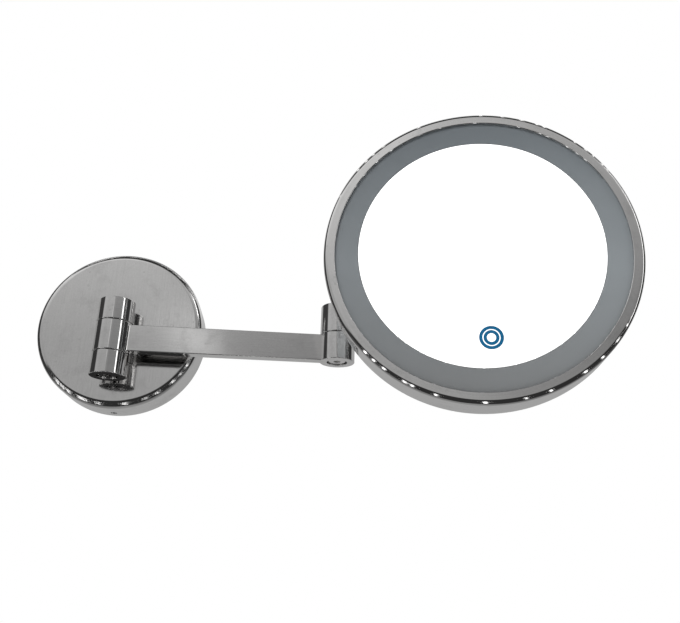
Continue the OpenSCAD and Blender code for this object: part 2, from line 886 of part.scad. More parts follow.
module glass_tape() {
    color("dimgray") head_frame() translate([0, 0, tray_top])
        tube(glass_r - 0.5, tray_bore_r + 0.5, tape_t);
}

module rim_gasket() {
    color("dimgray") head_frame() translate([0, 0, tray_top])
        tube(tray_out_r - 0.2, tray_out_r - tray_wall + 0.2, tape_t);
}

module light_tray() {
    post_z = cover_plate_t;
    lead_way = lead_r + 0.7;
    color("whitesmoke") head_frame() difference() {
        union() {
            translate([0, 0, tray_floor_z]) tube(tray_out_r, tray_bore_r, tray_wall);
            translate([0, 0, tray_floor_z]) tube(tray_hub_r, tray_bore_r, tray_top - tray_floor_z);
            translate([0, 0, tray_floor_z])
                tube(tray_out_r, tray_out_r - tray_wall, tray_top - tray_floor_z);
            at_cover_screws() drill(post_d / 2, post_z, tray_floor_z + 0.01);
        }
        at_cover_screws() drill(small_r + seat_gap, post_z - 1, tray_floor_z - 0.5);
        for (wire = [0, 1])
            rod(lead_bend(wire), lead_end(wire), lead_way);
    }
}

module led_board() {
    color("seagreen") head_frame() translate([0, 0, led_board_z])
        tube(led_board_out_r, led_board_in_r, board_t);
}

module leds() {
    color("lemonchiffon") head_frame() translate([0, 0, led_board_z + board_t])
        for (i = [0 : led_n - 1])
            rotate([0, 0, (i + 0.5) * 360 / led_n]) translate([led_ring_r, 0, 0])
                plate(led_w, led_w, led_h);
}

module back_cover() {
    color("gainsboro") head_frame() difference() {
        union() {
            cylinder(h = cover_plate_t, r = cover_plate_r);
            at_control_screws() drill(post_d / 2 - 1, cover_plate_t - 0.01, control_z);
        }
        translate([0, box_rise, -1])
            plate(door_w + 2 * fit_gap, door_h + 2 * fit_gap, cover_plate_t + 2);
        translate([0, box_rise + door_screw_y, -1])
            plate(door_tab_w + 2 * fit_gap, door_tab_h + 2 * fit_gap, cover_plate_t + 2);
        at_cover_screws() {
            drill(small_r + 0.2, -1, cover_plate_t + 1);
            translate([0, 0, -0.01])
                cylinder(h = small_screw_d * 0.5, r1 = small_screw_d, r2 = small_r + 0.2);
        }
        at_bracket_screws() drill(small_r + 0.1, -1, cover_plate_t + 1);
        at_control_screws() drill(small_r - 0.5 + seat_gap, cover_plate_t - 1, control_z + 1);
    }
}

module cover_screws() {
    color("silver") head_frame() at_cover_screws() difference() {
        union() {
            translate([0, 0, 0.1])
                cylinder(h = small_screw_d * 0.5 - 0.1, r1 = small_screw_d - 0.2, r2 = small_r);
            drill(small_r, small_screw_d * 0.5 - 0.01, tray_floor_z - 1);
        }
        for (turn = [0, 90])
            rotate([0, 0, turn]) translate([-1.6, -0.4, 0]) cube([3.2, 0.8, 1.2]);
    }
}

// Battery side

module in_battery_box() {
    head_frame() translate([0, box_rise, cover_plate_t]) children();
}

module battery_box() {
    depth = box_in_depth + box_wall;
    color("dimgray") in_battery_box() difference() {
        union() {
            plate(box_out_w, box_out_h, depth);
            plate(box_out_w + 2 * box_flange, box_out_h + 2 * box_flange, flange_sheet_t);
            translate([0, door_screw_y, 0]) cylinder(h = 7, r = post_d / 2 - 1);
        }
        translate([0, 0, -1]) plate(box_in_w, box_in_h, box_in_depth + 1);
        translate([0, door_screw_y, 0]) drill(small_r + seat_gap, -1, 6);
    }
}

// Turns every second cell round, and stacks them up the box
module at_cells() {
    for (i = [0 : cell_n - 1])
        translate([0, (i - (cell_n - 1) / 2) * cell_pitch, box_in_depth - cell_d / 2 - cell_gap])
            rotate([0, 0, i * 180]) children();
}

module battery_cells() {
    color("goldenrod") in_battery_box() at_cells()
        translate([-cell_l / 2 - 0.6, 0, 0]) rotate([0, 90, 0]) {
            cylinder(h = cell_l, r = cell_d / 2);
            drill(cell_d * 0.19, cell_l - 0.01, cell_l + 1.3);
        }
}

module battery_contacts() {
    contact_t = 0.4;
    reach = box_in_w / 2;
    color("silver") in_battery_box() at_cells() {
        translate([reach - contact_t, -4.5, -4.5]) cube([contact_t, 9, 9]);
        translate([-reach, -4.5, -4.5]) cube([contact_t, 9, 9]);
        translate([-reach + contact_t - 0.01, 0, 0]) rotate([0, 90, 0])
            for (turn = [0 : 2])
                translate([0, 0, turn * 0.95])
                    cylinder(h = 1, r = 4.2 - turn * 0.9);
    }
}

module battery_door() {
    color("gainsboro") head_frame() translate([0, box_rise, cover_plate_t - door_t]) difference() {
        union() {
            plate(door_w, door_h, door_t);
            translate([0, door_screw_y, 0]) plate(door_tab_w, door_tab_h, door_t);
        }
        translate([0, door_screw_y, 0]) drill(small_r + 0.2, -1, door_t + 1);
    }
}

module door_screw() {
    color("silver") head_frame() translate([0, box_rise + door_screw_y, cover_plate_t - door_t])
        mirror([0, 0, 1]) pan_screw(small_r * 1.5, 1.4, small_r, door_t + 4.5);
}

// Electronics

module control_board() {
    color("seagreen") head_frame() difference() {
        translate([0, control_y, control_z]) plate(control_w, control_h, board_t);
        at_control_screws() drill(small_r - 0.4, control_z - 1, control_z + board_t + 1);
    }
}

module control_parts() {
    top = control_z + board_t;
    color("dimgray") head_frame() {
        translate([-3, control_y + 2, top]) plate(7, 7, 1);
        translate([8, control_y - 3, top]) plate(5, 4, 1.6);
        translate([4, control_y + 7, top]) cylinder(h = 5, r = 2.5);
        translate([-10, control_y - 5, top]) cylinder(h = 3, r = 3);
        for (i = [0 : 4])
            translate([-4 + i * 2.4, control_y - 9, top]) plate(1.2, 2, 0.6);
    }
}

module board_screws() {
    color("silver") head_frame() at_control_screws()
        translate([0, 0, control_z + board_t])
            pan_screw(small_r * 1.3, 1.3, small_r - 0.5, 5);
}

module touch_board() {
    pad_t = tape_t;
    color("seagreen") head_frame() translate(touch_at + [0, 0, glass_back - pad_t - board_t])
        plate(22, 18, board_t);
}

module touch_pad() {
    color("dimgray") head_frame() translate(touch_at + [0, 0, glass_back - tape_t])
        cylinder(h = tape_t, r = touch_ring_d / 2);
}

// Where a light lead turns towards the tray's inner wall, and where it ends over the LED board
function lead_bend(wire) =
    [-control_w / 2 - lead_bend_out, control_y + wire * lead_spread, led_lead_z];
function lead_end(wire) =
    [led_lead_r * cos(lead_angle), led_lead_r * sin(lead_angle) + wire * lead_spread, led_lead_z];

module leads() {
    color("firebrick") head_frame() {
        for (wire = [0, 1]) {
            x = battery_lead_x + wire * lead_spread;
            rod([x, box_rise - box_out_h / 2, lead_z], [x, control_y + 8, lead_z], lead_r);
            start = [-control_w / 2 + lead_start_in, control_y + wire * lead_spread, lead_z];
            rod(start, lead_bend(wire), lead_r);
            translate(lead_bend(wire)) sphere(lead_r + 0.1, $fn = 24);
            rod(lead_bend(wire), lead_end(wire), lead_r);
        }
    }
}

wall_bracket();
wall_cover();
cover_grub_screw();
backing_plate();
upper_knuckle();
lower_knuckle();
knuckle_screws();
knuckle_washers();
wall_hinge_pin();
wall_hinge_springs();
wall_hinge_screw();
inner_eye();
front_arm_bar();
outer_eye();
wall_hinge_bushes();
elbow_pin();
elbow_bottom_screw();
elbow_top_screw();
elbow_eye();
rear_arm_bar();
tip_eye();
elbow_bushes();
elbow_springs();
swivel_bushes();
head_yoke();
swivel_bolt();
swivel_nut();
swivel_springs();
tilt_bush();
tilt_bracket();
tilt_bolt();
tilt_nut();
tilt_washers();
bracket_screws();
bracket_backing();
head_rim();
light_band();
mirror_glass();
touch_symbol();
glass_tape();
rim_gasket();
light_tray();
led_board();
leds();
back_cover();
cover_screws();
battery_box();
battery_cells();
battery_contacts();
battery_door();
door_screw();
control_board();
control_parts();
board_screws();
touch_board();
touch_pad();
leads();
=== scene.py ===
import json
import math
import bpy
from mathutils import Matrix, Vector


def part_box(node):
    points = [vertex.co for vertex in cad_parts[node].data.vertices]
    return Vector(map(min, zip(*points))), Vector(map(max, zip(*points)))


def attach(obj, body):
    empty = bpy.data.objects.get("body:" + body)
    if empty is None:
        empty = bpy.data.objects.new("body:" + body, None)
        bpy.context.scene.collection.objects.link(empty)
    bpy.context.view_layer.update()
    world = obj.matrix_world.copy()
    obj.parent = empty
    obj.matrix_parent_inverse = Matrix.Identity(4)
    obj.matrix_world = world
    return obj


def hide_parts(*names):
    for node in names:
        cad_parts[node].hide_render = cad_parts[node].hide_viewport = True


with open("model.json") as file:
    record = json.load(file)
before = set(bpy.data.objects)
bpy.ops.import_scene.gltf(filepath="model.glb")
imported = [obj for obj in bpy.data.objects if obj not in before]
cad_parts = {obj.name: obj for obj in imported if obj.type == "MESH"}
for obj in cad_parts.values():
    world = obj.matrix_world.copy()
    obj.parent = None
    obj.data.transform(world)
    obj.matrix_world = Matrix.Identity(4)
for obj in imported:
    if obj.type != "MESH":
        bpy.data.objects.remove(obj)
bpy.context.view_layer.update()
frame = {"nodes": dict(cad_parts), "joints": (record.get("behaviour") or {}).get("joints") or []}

# ------ Wall cover
# The round cover is drawn from brass sheet, polished and chrome plated. It pushes over the
# bracket on the wall, and one grub screw at the bottom of its side wall holds it.

joint_at = {joint["name"]: Vector(joint["pos_m"]) for joint in frame["joints"]}
quarter = math.pi / 2
wall_place = Matrix.Rotation(quarter, 4, "X")
arm_height = joint_at["wall_hinge"].z
cover_low, cover_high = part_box("wall_cover")
cover_r = (cover_high.z - cover_low.z) / 2
cover_depth = -cover_low.y
cover_sheet = 0.0015
cover_rounding = 0.0053
# Widths of a small eased edge
fine_easing = 0.0002
easing = 0.0003
chamfer = 0.0005
grub_from_wall = 0.010
grub_hole_r = 0.0023
knuckle_screw_r = 0.0025
# How far a cutting tool reaches past the face that it opens, and half the length of one
# that goes right through an eye or a thin wall
past = 0.001
through = 0.02
through_wall = 0.01
knuckle_low, knuckle_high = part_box("upper_knuckle")
# Height of a fixed knuckle's middle above or below the arm's centre line
knuckle_middle = (knuckle_low.z + knuckle_high.z) / 2 - arm_height


def add_cylinder(name, radius, low, high, sides=192):
    """A closed cylinder round Z, to be shaped and then put in its place."""
    bpy.ops.mesh.primitive_cylinder_add(
        vertices=sides, radius=radius, depth=high - low, location=(0, 0, (low + high) / 2))
    piece = bpy.context.object
    piece.name = name
    bpy.ops.object.transform_apply()
    return piece


def add_block(name, low, high):
    """A box between two corners."""
    middle = (Vector(low) + Vector(high)) / 2
    bpy.ops.mesh.primitive_cube_add(size=1, location=middle)
    piece = bpy.context.object
    piece.name = name
    piece.scale = Vector(high) - Vector(low)
    bpy.ops.object.transform_apply()
    return piece


def pick(piece):
    """Selects one piece and nothing else."""
    bpy.ops.object.select_all(action="DESELECT")
    piece.select_set(True)
    bpy.context.view_layer.objects.active = piece


def open_with(piece, kind, rule):
    """Opens the piece in edit mode with only the faces or edges that the rule picks."""
    pick(piece)
    bpy.ops.object.mode_set(mode="EDIT")
    bpy.ops.mesh.select_mode(type=kind)
    bpy.ops.mesh.select_all(action="DESELECT")
    bpy.ops.object.mode_set(mode="OBJECT")
    corners = piece.data.vertices
    if kind == "FACE":
        for face in piece.data.polygons:
            face.select = rule(face.center, face.normal)
    else:
        for edge in piece.data.edges:
            edge.select = rule(corners[edge.vertices[0]].co, corners[edge.vertices[1]].co)
    bpy.ops.object.mode_set(mode="EDIT")


def round_edges(piece, width, steps, rule):
    open_with(piece, "EDGE", rule)
    bpy.ops.mesh.bevel(offset=width, segments=steps, profile=0.5, clamp_overlap=False)
    bpy.ops.object.mode_set(mode="OBJECT")


def circle_edge(height, radius, slack=2e-5):
    """Picks the edges of one circle round Z."""
    def rule(a, b):
        return all(abs(end.z - height) < slack and abs(end.xy.length - radius) < slack
                   for end in (a, b))
    return rule


def end_face(height, slack=2e-5):
    """Picks the faces that lie flat at one height."""
    def rule(centre, normal):
        return abs(centre.z - height) < slack and abs(normal.z) > 0.99
    return rule


def at(x, y, z=0.0):
    return Matrix.Translation((x, y, z))


def turned(angle, axis):
    return Matrix.Rotation(angle, 4, axis)


def put(piece, place):
    """Turns and moves a piece into its place, and leaves its object at the origin."""
    pick(piece)
    piece.matrix_world = place
    bpy.ops.object.transform_apply()
    return piece


def apply_modifier(piece, modifier):
    pick(piece)
    bpy.ops.object.modifier_apply(modifier=modifier.name)


def combine(piece, tool, way="DIFFERENCE"):
    """Cuts the tool out of the piece, or joins it on, and throws the tool away."""
    step = piece.modifiers.new("combine", "BOOLEAN")
    step.operation = way
    step.solver = "EXACT"
    step.object = tool
    apply_modifier(piece, step)
    bpy.data.objects.remove(tool)


def drill(piece, radius, low=-through, high=through, place=None, sides=64):
    tool = add_cylinder("tool", radius, low, high, sides)
    if place is not None:
        put(tool, place)
    combine(piece, tool)


def hand_over(piece, place, material, slot, body, *nodes):
    """Puts a finished piece in its place and lets it stand for its CAD nodes."""
    put(piece, place)
    bpy.ops.object.shade_smooth_by_angle(angle=math.radians(38))
    flat = piece.modifiers.new("flat faces", "WEIGHTED_NORMAL")
    flat.keep_sharp = True
    apply_modifier(piece, flat)
    piece.data.materials.clear()
    piece.data.materials.append(material)
    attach(piece, body)
    if nodes:
        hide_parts(*nodes)
    return piece


def add_node(tree, kind, sockets=None, **settings):
    """A shader node with its settings, and its sockets given a value or a link each."""
    made = tree.nodes.new("ShaderNode" + kind)
    for key, value in settings.items():
        setattr(made, key, value)
    for key, value in (sockets or {}).items():
        if isinstance(value, bpy.types.NodeSocket):
            tree.links.new(value, made.inputs[key])
        else:
            made.inputs[key].default_value = value
    return made


def calculate(tree, operation, *values, clamped=False):
    """The result of one calculation on links or numbers."""
    return add_node(tree, "Math", dict(enumerate(values)), operation=operation,
                    use_clamp=clamped).outputs[0]


def spread(tree, value, low=0.0, high=1.0, to_low=0.0, to_high=1.0, kind="LINEAR"):
    """Spreads a value from one range over another and stops at its ends."""
    return add_node(tree, "MapRange", {
        "Value": value, "From Min": low, "From Max": high, "To Min": to_low,
        "To Max": to_high}, interpolation_type=kind).outputs[0]


def noise(tree, place, scale, detail, roughness=0.5):
    return add_node(tree, "TexNoise", {
        "Vector": place, "Scale": scale, "Detail": detail,
        "Roughness": roughness}).outputs[0]


def mix_colours(tree, share, one, other):
    """Mixes two colours, each a link or red, green and blue."""
    mix = add_node(tree, "Mix", {"Factor": share}, data_type="RGBA")
    for socket, colour in zip((mix.inputs[6], mix.inputs[7]), (one, other)):
        if isinstance(colour, tuple):
            socket.default_value = (*colour, 1)
        else:
            tree.links.new(colour, socket)
    return mix.outputs[2]


def new_group(name, inputs, outputs):
    """An empty shader group with named sockets, and the sockets to read and to feed."""
    group = bpy.data.node_groups.new(name, "ShaderNodeTree")
    for label, kind, start in inputs:
        socket = group.interface.new_socket(
            label, in_out="INPUT", socket_type="NodeSocket" + kind)
        if start is not None:
            socket.default_value = start
    for label, kind in outputs:
        group.interface.new_socket(label, in_out="OUTPUT", socket_type="NodeSocket" + kind)
    return group, group.nodes.new("NodeGroupInput").outputs, group.nodes.new(
        "NodeGroupOutput").inputs


def feed(tree, shader, colour, rough, height, strength, distance=0.001):
    """Gives a shader its colour and roughness, and relief through a bump."""
    relief = add_node(tree, "Bump", {
        "Strength": strength, "Distance": distance, "Height": height})
    tree.links.new(colour, shader.inputs["Base Color"])
    tree.links.new(rough, shader.inputs["Roughness"])
    tree.links.new(relief.outputs[0], shader.inputs["Normal"])


def new_material(name):
    """A material with a Principled shader and the piece's own coordinates."""
    material = bpy.data.materials.new(name)
    material.use_nodes = True
    tree = material.node_tree
    tree.nodes.clear()
    shader = tree.nodes.new("ShaderNodeBsdfPrincipled")
    output = tree.nodes.new("ShaderNodeOutputMaterial")
    tree.links.new(shader.outputs[0], output.inputs[0])
    place = tree.nodes.new("ShaderNodeTexCoord").outputs["Object"]
    return material, tree, shader, place


# Hand polishing leaves fine lines in one direction, a slow waviness in the plating, and
# handling leaves smudges and dried water spots.
polish, polish_in, polish_out = new_group(
    "polished plating",
    [("Place", "Vector", None), ("Lines", "Vector", None), ("Roughness", "Float", 0.05),
     ("Line Depth", "Float", 0.3), ("Smudges", "Float", 0.05)],
    [("Roughness", "Float"), ("Height", "Float"), ("Dulling", "Float"), ("Grain", "Float")])
polish_at = polish_in["Place"]
polish_lines = noise(polish, polish_in["Lines"], 1.0, 3.0, 0.6)
polish_waves = noise(polish, polish_at, 38.0, 1.0)
polish_smudge = noise(polish, polish_at, 70.0, 5.0, 0.62)
polish_speckle = noise(polish, polish_at, 1300.0, 2.0)
polish_grain = add_node(polish, "Mix", {
    0: 0.5, 2: polish_lines, 3: polish_speckle}).outputs[0]
smudge_mask = spread(polish, polish_smudge, 0.48, 0.72, kind="SMOOTHSTEP")
water_cells = add_node(polish, "TexVoronoi", {
    "Vector": polish_at, "Scale": 150.0}).outputs
water_ring = spread(polish, water_cells["Distance"], 0.10, 0.16, 1.0, 0.0, "SMOOTHSTEP")
water_chance = add_node(polish, "SeparateColor", {"Color": water_cells["Color"]})
water_some = calculate(polish, "GREATER_THAN", water_chance.outputs[0], 0.72)
water_mask = calculate(polish, "MULTIPLY", water_ring, water_some)
marks = calculate(polish, "ADD", smudge_mask, water_mask, clamped=True)
mark_rough = calculate(polish, "MULTIPLY_ADD", marks, polish_in["Smudges"],
                       polish_in["Roughness"])
wave_height = calculate(polish, "MULTIPLY", polish_waves, 0.3)
for label, value in (
        ("Roughness", calculate(polish, "MULTIPLY_ADD", polish_lines, 0.05, mark_rough)),
        ("Height", calculate(polish, "MULTIPLY_ADD", polish_lines, polish_in["Line Depth"],
                             wave_height)),
        ("Dulling", marks), ("Grain", polish_grain)):
    polish.links.new(value, polish_out[label])


def chrome(name, stretch, roughness=0.035, line_depth=0.25, smudges=0.06, bump=0.03,
           tint=(0.80, 0.794, 0.788), dulled=(0.72, 0.714, 0.708), grain=0.07):
    """Chrome plate whose polishing lines run along the axis with the smallest stretch."""
    material, tree, shader, place = new_material(name)
    lines = add_node(tree, "Mapping", {"Vector": place, "Scale": stretch})
    worked = add_node(tree, "Group", node_tree=polish)
    tree.links.new(place, worked.inputs["Place"])
    tree.links.new(lines.outputs[0], worked.inputs["Lines"])
    for label, value in (("Roughness", roughness), ("Line Depth", line_depth),
                         ("Smudges", smudges)):
        worked.inputs[label].default_value = value
    tone = mix_colours(tree, worked.outputs["Dulling"], tint, dulled)
    grain_level = spread(tree, worked.outputs["Grain"], 0.3, 0.7, 1.0 - grain, 1.0 + grain)
    grained = add_node(tree, "VectorMath", {0: tone, 3: grain_level},
                       operation="SCALE")
    feed(tree, shader, grained.outputs[0], worked.outputs["Roughness"],
         worked.outputs["Height"], bump)
    shader.inputs["Metallic"].default_value = 1.0
    return material


upright_chrome = chrome("chrome_upright_polish", (1100, 1100, 30), roughness=0.08,
                        line_depth=0.8, bump=0.035, smudges=0.03)

wall_cover = add_cylinder("wall_cover_shell", cover_r, 0, cover_depth, sides=288)
round_edges(wall_cover, cover_rounding, 14, circle_edge(cover_depth, cover_r))
open_with(wall_cover, "FACE", end_face(0))
bpy.ops.mesh.delete(type="FACE")
bpy.ops.object.mode_set(mode="OBJECT")
sheet = wall_cover.modifiers.new("sheet", "SOLIDIFY")
sheet.thickness = cover_sheet
sheet.offset = -1
sheet.use_even_offset = True
apply_modifier(wall_cover, sheet)
drill(wall_cover, grub_hole_r, -4 * past, 4 * past,
      at(0, -cover_r, grub_from_wall) @ turned(quarter, "X"))
for side in (-1, 1):
    drill(wall_cover, knuckle_screw_r, cover_depth - 3 * past, cover_depth + 2 * past,
          at(0, arm_height + side * knuckle_middle))
hand_over(wall_cover, wall_place, upright_chrome, "chrome", "wall_side", "wall_cover")

# ------ Wall bracket and inside
# A punched steel disc with a bent tab is screwed to the wall inside the cover. Behind the
# cover's face a steel plate backs the two cap screws that hold the knuckles.


def dress(material, *names):
    """Gives CAD nodes that stay in view their finished material."""
    for name in names:
        frame["nodes"][name].material_slots[0].material = material


zinc_steel = chrome("zinc_plated_steel", (260, 260, 900), roughness=0.27, line_depth=0.8,
                    smudges=0.14, bump=0.10, tint=(0.52, 0.52, 0.535),
                    dulled=(0.47, 0.47, 0.475))
dress(zinc_steel, "wall_bracket", "backing_plate", "knuckle_screws", "knuckle_washers")

# ------ Grub screw
# A steel set screw with a hexagon socket. It is threaded into the bracket's bent tab, and
# its outer end sits in the hole at the bottom of the cover.

grub_low, grub_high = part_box("cover_grub_screw")
grub_r = (grub_high.x - grub_low.x) / 2
grub_length = grub_high.z - grub_low.z
grub_socket_depth = 0.0015
grub_screw = add_cylinder("grub_screw_shank", grub_r, 0, grub_length, 64)
round_edges(grub_screw, easing, 2, circle_edge(grub_length, grub_r))
round_edges(grub_screw, easing, 2, circle_edge(0, grub_r))
drill(grub_screw, grub_r / 2, grub_length - grub_socket_depth, grub_length + past, sides=6)
hand_over(grub_screw, at(0, -grub_from_wall, grub_high.z) @ turned(math.pi, "X"), zinc_steel,
          "steel", "wall_side", "cover_grub_screw")

# ------ Knuckles
# Two turned brass barrels with chamfered ends, chrome plated. A round collar holds each off
# the cover, and a cap screw from inside the cover runs through the collar into it.

hinge_at = joint_at["wall_hinge"]
hinge_place = at(hinge_at.x, hinge_at.y, arm_height)
barrel_r = (knuckle_high.x - knuckle_low.x) / 2
collar_r = 0.005
collar_back = -cover_depth - hinge_at.y
collar_length = 0.0096
pin_hole_r = 0.00402
collar_hole_depth = 0.0073
recess_r = 0.0073
recess_depth = 0.0064
pin_roof = 0.003
knuckle_foot = knuckle_low.z - arm_height
knuckle_end = knuckle_high.z - arm_height
turned_chrome = chrome("chrome_turned", (90, 90, 1600), roughness=0.03, line_depth=0.3,
                       bump=0.035)


def make_barrel(name, radius, low, high):
    """A turned barrel with a small rounded chamfer at both ends."""
    piece = add_cylinder(name, radius, low, high)
    for height in (low, high):
        round_edges(piece, chamfer, 3, circle_edge(height, radius))
    return piece


def make_knuckle(name, low, high, middle):
    """A knuckle with its collar and the blind screw hole in the collar."""
    piece = make_barrel(name, barrel_r, low, high)
    collar = add_cylinder("collar", collar_r, 0, collar_length, 96)
    collar_place = at(0, collar_back, middle) @ turned(quarter, "X")
    put(collar, collar_place)
    combine(piece, collar, "UNION")
    drill(piece, knuckle_screw_r, -past, collar_hole_depth, collar_place)
    return piece


def open_recess(piece, low, high, mouth):
    """Bores the wide recess for a screw's head and eases its mouth."""
    drill(piece, recess_r, low, high, sides=96)
    round_edges(piece, fine_easing, 2, circle_edge(mouth, recess_r))


upper_knuckle = make_knuckle("upper_knuckle_barrel", knuckle_foot, knuckle_end, knuckle_middle)
drill(upper_knuckle, pin_hole_r, knuckle_foot - past, knuckle_end - pin_roof)
hand_over(upper_knuckle, hinge_place, turned_chrome, "chrome", "wall_side", "upper_knuckle")

lower_knuckle = make_knuckle("lower_knuckle_barrel", -knuckle_end, -knuckle_foot, -knuckle_middle)
drill(lower_knuckle, pin_hole_r, -knuckle_end - past, -knuckle_foot + past)
open_recess(lower_knuckle, -knuckle_end - past, -knuckle_end + recess_depth, -knuckle_end)
hand_over(lower_knuckle, hinge_place, turned_chrome, "chrome", "wall_side", "lower_knuckle")

# ------ Hinge pins and springs
# Ground steel pins run through both hinges. Cap screws in their ends press on disc springs,
# which set how stiffly the hinges turn.

spring_steel = chrome("oiled_spring_steel", (900, 900, 900), roughness=0.30, line_depth=0.5,
                      smudges=0.12, bump=0.06, tint=(0.20, 0.19, 0.19),
                      dulled=(0.12, 0.105, 0.09))
ground_steel = chrome("ground_steel", (120, 120, 2600), roughness=0.20, line_depth=0.9,
                      smudges=0.08, bump=0.08, tint=(0.60, 0.60, 0.61),
                      dulled=(0.50, 0.50, 0.50))
dress(ground_steel, "wall_hinge_pin", "elbow_pin")
dress(spring_steel, "wall_hinge_springs", "elbow_springs", "swivel_springs")
screw_head_r = 0.0063
screw_head_h = 0.0032
screw_shank_r = 0.0025
screw_socket_r = 0.00275
hinge_screw_length = 0.0114
spring_pack = 0.0024
screw_sink = 0.0008
turned_over = turned(math.pi, "X")


def add_shank(piece, head_r, shank_r, length):
    """Draws a shank down from the underside of a screw's head at zero."""
    open_with(piece, "FACE", end_face(0))
    bpy.ops.mesh.inset(thickness=head_r - shank_r)
    bpy.ops.mesh.extrude_region_move(TRANSFORM_OT_translate={"value": (0, 0, -length)})
    bpy.ops.object.mode_set(mode="OBJECT")


def make_cap_screw(name, shank_length, head_r=screw_head_r, head_h=screw_head_h,
                   shank_r=screw_shank_r, socket_r=screw_socket_r):
    """A cap screw with its head above zero, its shank below and a hexagon socket."""
    piece = add_cylinder(name, head_r, 0, head_h, 96)
    round_edges(piece, chamfer, 3, circle_edge(head_h, head_r))
    add_shank(piece, head_r, shank_r, shank_length)
    round_edges(piece, 0.0004, 2, circle_edge(-shank_length, shank_r, slack=8e-5))
    drill(piece, socket_r, head_h * 0.35, head_h + past, sides=6)
    return piece


hinge_screw = make_cap_screw("hinge_cap_screw", hinge_screw_length)
hand_over(hinge_screw,
          hinge_place @ turned_over @ at(0, 0, knuckle_end - screw_sink - screw_head_h),
          turned_chrome, "chrome", "wall_side", "wall_hinge_screw")

# ------ Front arm
# A flat bar of brass is let into two barrel eyes, brazed, polished along its length and
# plated with them. It turns on the wall hinge.

elbow_at = joint_at["elbow_hinge"]
elbow_place = at(elbow_at.x, elbow_at.y, arm_height)
arm_length = elbow_at.x - hinge_at.x
bar_low, bar_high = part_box("front_arm_bar")
bar_half_t = (bar_high.y - bar_low.y) / 2
bar_half_h = (bar_high.z - bar_low.z) / 2
bar_seat = 0.003
seat_gap = 0.00002
inner_eye_low, inner_eye_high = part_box("inner_eye")
outer_eye_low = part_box("outer_eye")[0]
bush_hole_r = 0.00602
elbow_low_screw_length = 0.008
bar_chrome = chrome("chrome_long_polish", (60, 1400, 1400), roughness=0.06, line_depth=0.35,
                    smudges=0.03, bump=0.02)


def cut_pocket(piece, radius, turn=0.0):
    """Cuts the pocket for the bar's end out of an eye, on the side the turn points to."""
    pocket = add_block(
        "pocket", (radius - bar_seat, -bar_half_t - seat_gap, -bar_half_h - seat_gap),
        (radius + past, bar_half_t + seat_gap, bar_half_h + seat_gap))
    put(pocket, turned(turn, "Z"))
    combine(piece, pocket)


def make_bar(name, length, radius_from, radius_to):
    """A bar from eye to eye with its long edges eased."""
    piece = add_block(name, (radius_from - bar_seat + seat_gap, -bar_half_t, -bar_half_h),
                      (length - radius_to + bar_seat - seat_gap, bar_half_t, bar_half_h))
    round_edges(piece, chamfer, 3, lambda a, b: abs(a.x - b.x) > 0.01)
    return piece


inner_eye = make_barrel("inner_eye_barrel", barrel_r, inner_eye_low.z - arm_height,
                        inner_eye_high.z - arm_height)
drill(inner_eye, bush_hole_r)
cut_pocket(inner_eye, barrel_r)
hand_over(inner_eye, hinge_place, turned_chrome, "chrome", "front_arm", "inner_eye")

front_bar = make_bar("front_bar", arm_length, barrel_r, barrel_r)
hand_over(front_bar, hinge_place, bar_chrome, "chrome", "front_arm", "front_arm_bar")

outer_eye_foot = outer_eye_low.z - arm_height
outer_eye = make_barrel("outer_eye_barrel", barrel_r, outer_eye_foot, -outer_eye_foot)
drill(outer_eye, pin_hole_r)
open_recess(outer_eye, -through, outer_eye_foot + screw_sink + screw_head_h, outer_eye_foot)
cut_pocket(outer_eye, barrel_r, math.pi)
hand_over(outer_eye, elbow_place, turned_chrome, "chrome", "front_arm", "outer_eye")

elbow_low_screw = make_cap_screw("elbow_low_cap_screw", elbow_low_screw_length)
hand_over(elbow_low_screw,
          elbow_place @ turned_over @ at(0, 0, -outer_eye_foot - screw_sink - screw_head_h),
          turned_chrome, "chrome", "front_arm", "elbow_bottom_screw")

# ------ Rear arm
# A second, shorter bar with a barrel eye on the elbow pin and a smaller eye at its tip. It
# runs behind the head and carries it.

swivel_at = joint_at["head_swivel"]
elbow_eye_low, elbow_eye_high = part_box("elbow_eye")
rear_height = (elbow_eye_low.z + elbow_eye_high.z) / 2
rear_turn = math.atan2(swivel_at.y - elbow_at.y, swivel_at.x - elbow_at.x)
rear_length = (swivel_at.xy - elbow_at.xy).length
rear_place = at(elbow_at.x, elbow_at.y, rear_height) @ turned(rear_turn, "Z")
elbow_half = (elbow_eye_high.z - elbow_eye_low.z) / 2
tip_low, tip_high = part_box("tip_eye")
tip_half = (tip_high.z - tip_low.z) / 2
tip_r = 0.010
tip_hole_r = 0.00502
elbow_top_screw_length = 0.0104

elbow_eye = make_barrel("elbow_eye_barrel", barrel_r, -elbow_half, elbow_half)
drill(elbow_eye, bush_hole_r, -through, elbow_half)
open_recess(elbow_eye, elbow_half - recess_depth, through, elbow_half)
cut_pocket(elbow_eye, barrel_r)
hand_over(elbow_eye, rear_place, turned_chrome, "chrome", "rear_arm", "elbow_eye")

rear_bar = make_bar("rear_bar", rear_length, barrel_r, tip_r)
hand_over(rear_bar, rear_place, bar_chrome, "chrome", "rear_arm", "rear_arm_bar")

tip_eye = make_barrel("tip_eye_barrel", tip_r, -tip_half, tip_half)
drill(tip_eye, tip_hole_r)
cut_pocket(tip_eye, tip_r, math.pi)
hand_over(tip_eye, rear_place @ at(rear_length, 0), turned_chrome, "chrome", "rear_arm",
          "tip_eye")

elbow_top_screw = make_cap_screw("elbow_top_cap_screw", elbow_top_screw_length)
hand_over(elbow_top_screw, rear_place @ at(0, 0, elbow_half - recess_depth + spring_pack),
          turned_chrome, "chrome", "front_arm", "elbow_top_screw")

